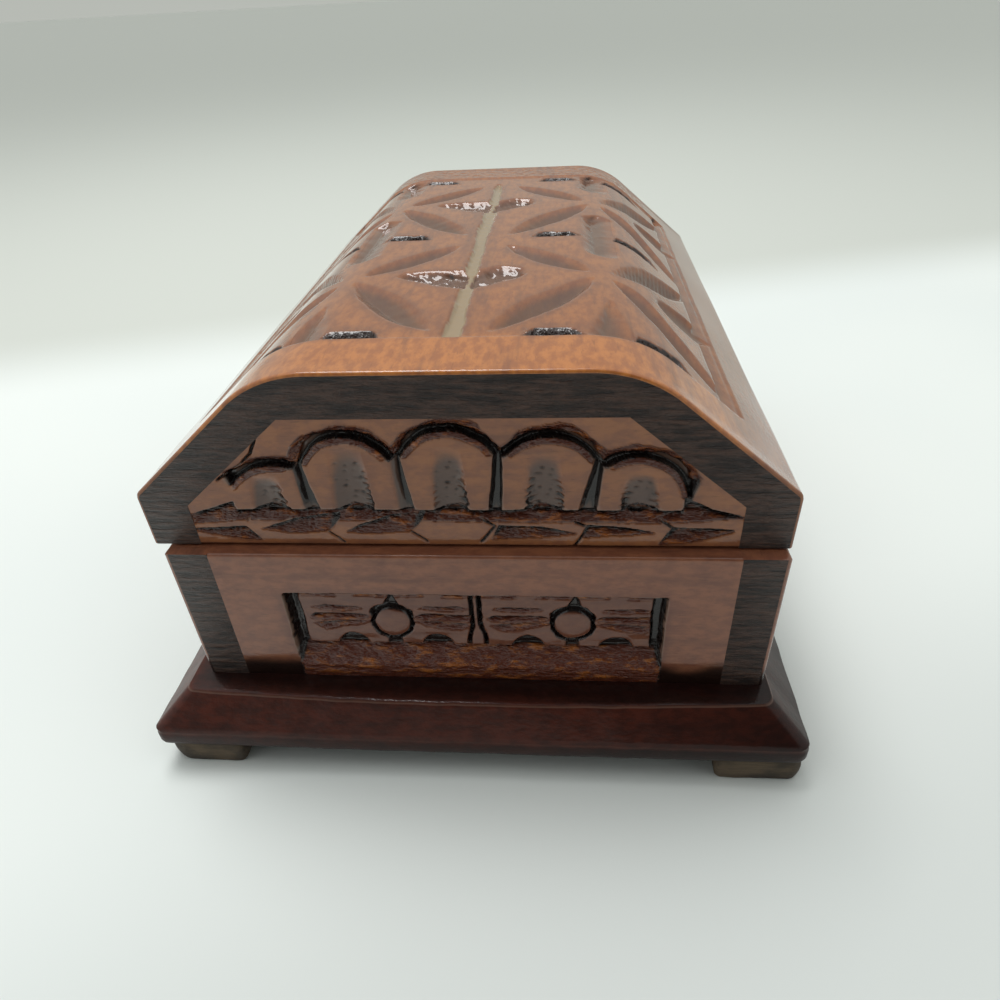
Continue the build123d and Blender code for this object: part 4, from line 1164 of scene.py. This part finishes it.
# The window's place, what it faces and its size in metres, and its power in watts
WINDOW_PLACE = (-0.25, -0.25, 1.2)
WINDOW_TARGET = (0, 0, 0.05)
WINDOW_SIZE = 0.5
WINDOW_POWER = 7.5


def toned_along(tree, tone, place, tones):
    """Lays each colour over the tone as the place, or the way one looks, goes further along its direction."""
    for direction, colour, low, high in tones:
        along = add_node(tree, "ShaderNodeVectorMath", {0: place, 1: direction}, operation="DOT_PRODUCT")
        tone = lay_over(tree, tone, srgb(colour), along.outputs["Value"], low, high)
    return tone


def make_floor():
    """A wide sheet of matt white card under the box, with painted shade that turns it greyer about a quarter
    of a metre behind it and a little greyer in front of it."""
    corners = [(sx * FLOOR_REACH, sy * FLOOR_REACH, 0) for sx, sy in ((-1, -1), (1, -1), (1, 1), (-1, 1))]
    mesh = bpy.data.meshes.new("floor")
    mesh.from_pydata(corners, [], [(0, 1, 2, 3)])
    material, tree, shader = new_material("card_white_matt")
    place = add_node(tree, "ShaderNodeTexCoord").outputs["Object"]
    clouds = fibres(tree, 0, 300.0, 300.0, 2)
    tone = lay_over(tree, srgb("#E9EEEA"), srgb("#E4EAE7"), clouds, 0.3, 0.7)
    tone = toned_along(tree, tone, place, FLOOR_SHADE_TONES)
    tree.links.new(tone, shader.inputs["Base Color"])
    shader.inputs["Roughness"].default_value = 0.8
    shader.inputs["Specular IOR Level"].default_value = 0.2
    mesh.materials.append(material)
    floor = bpy.data.objects.new("floor", mesh)
    bpy.context.scene.collection.objects.link(floor)


def make_area_light(name, place, target, width, height, power, colour):
    """A soft rectangular light at a place in metres that faces a target."""
    light = bpy.data.lights.new(name, "AREA")
    light.shape = "RECTANGLE"
    light.size = width
    light.size_y = height
    light.energy = power
    light.color = srgb(colour)[:3]
    lamp = bpy.data.objects.new(name, light)
    lamp.location = place
    lamp.rotation_mode = "QUATERNION"
    lamp.rotation_quaternion = (Vector(target) - Vector(place)).to_track_quat("-Z", "Y")
    bpy.context.scene.collection.objects.link(lamp)


def make_world():
    """A pale room, white overhead and greyer low down behind the box, with a dark patch up in front of the
    photographed end, where the photographer stood."""
    world = bpy.data.worlds.new("room")
    bpy.context.scene.world = world
    world.use_nodes = True
    tree = world.node_tree
    way = add_node(tree, "ShaderNodeTexCoord").outputs["Generated"]
    tone = toned_along(tree, srgb("#C9CCCA"), way, ROOM_TONES)
    background = tree.nodes["Background"]
    tree.links.new(tone, background.inputs["Color"])
    background.inputs["Strength"].default_value = 1.2


# The photograph's camera: its place in millimetres, and how it is turned from looking along -X
CAMERA_PLACE = (230.8, 23.3, 172.0)
CAMERA_YAW = -0.1035
CAMERA_PITCH = 0.6161
CAMERA_ROLL = -0.0575
CAMERA_LENS = 25.83
CAMERA_SENSOR = 36.0


def make_camera():
    """The camera stands close in front of the right end and looks down at it."""
    forward = Vector((
        -math.cos(CAMERA_PITCH) * math.cos(CAMERA_YAW),
        math.cos(CAMERA_PITCH) * math.sin(CAMERA_YAW),
        -math.sin(CAMERA_PITCH),
    ))
    level = forward.cross(Vector((0, 0, 1))).normalized()
    upright = level.cross(forward)
    right = level * math.cos(CAMERA_ROLL) + upright * math.sin(CAMERA_ROLL)
    up = upright * math.cos(CAMERA_ROLL) - level * math.sin(CAMERA_ROLL)
    data = bpy.data.cameras.new("camera")
    data.lens = CAMERA_LENS
    data.sensor_width = CAMERA_SENSOR
    data.clip_start = 0.01
    camera = bpy.data.objects.new("camera", data)
    turn = Matrix((right, up, -forward)).transposed().to_4x4()
    camera.matrix_world = Matrix.Translation(Vector(CAMERA_PLACE) * MM) @ turn
    bpy.context.scene.collection.objects.link(camera)
    bpy.context.scene.camera = camera


make_floor()
make_world()
make_area_light("window", WINDOW_PLACE, WINDOW_TARGET, WINDOW_SIZE, WINDOW_SIZE, WINDOW_POWER, "#FFFFFF")
make_camera()
bpy.context.scene.view_settings.view_transform = "Standard"
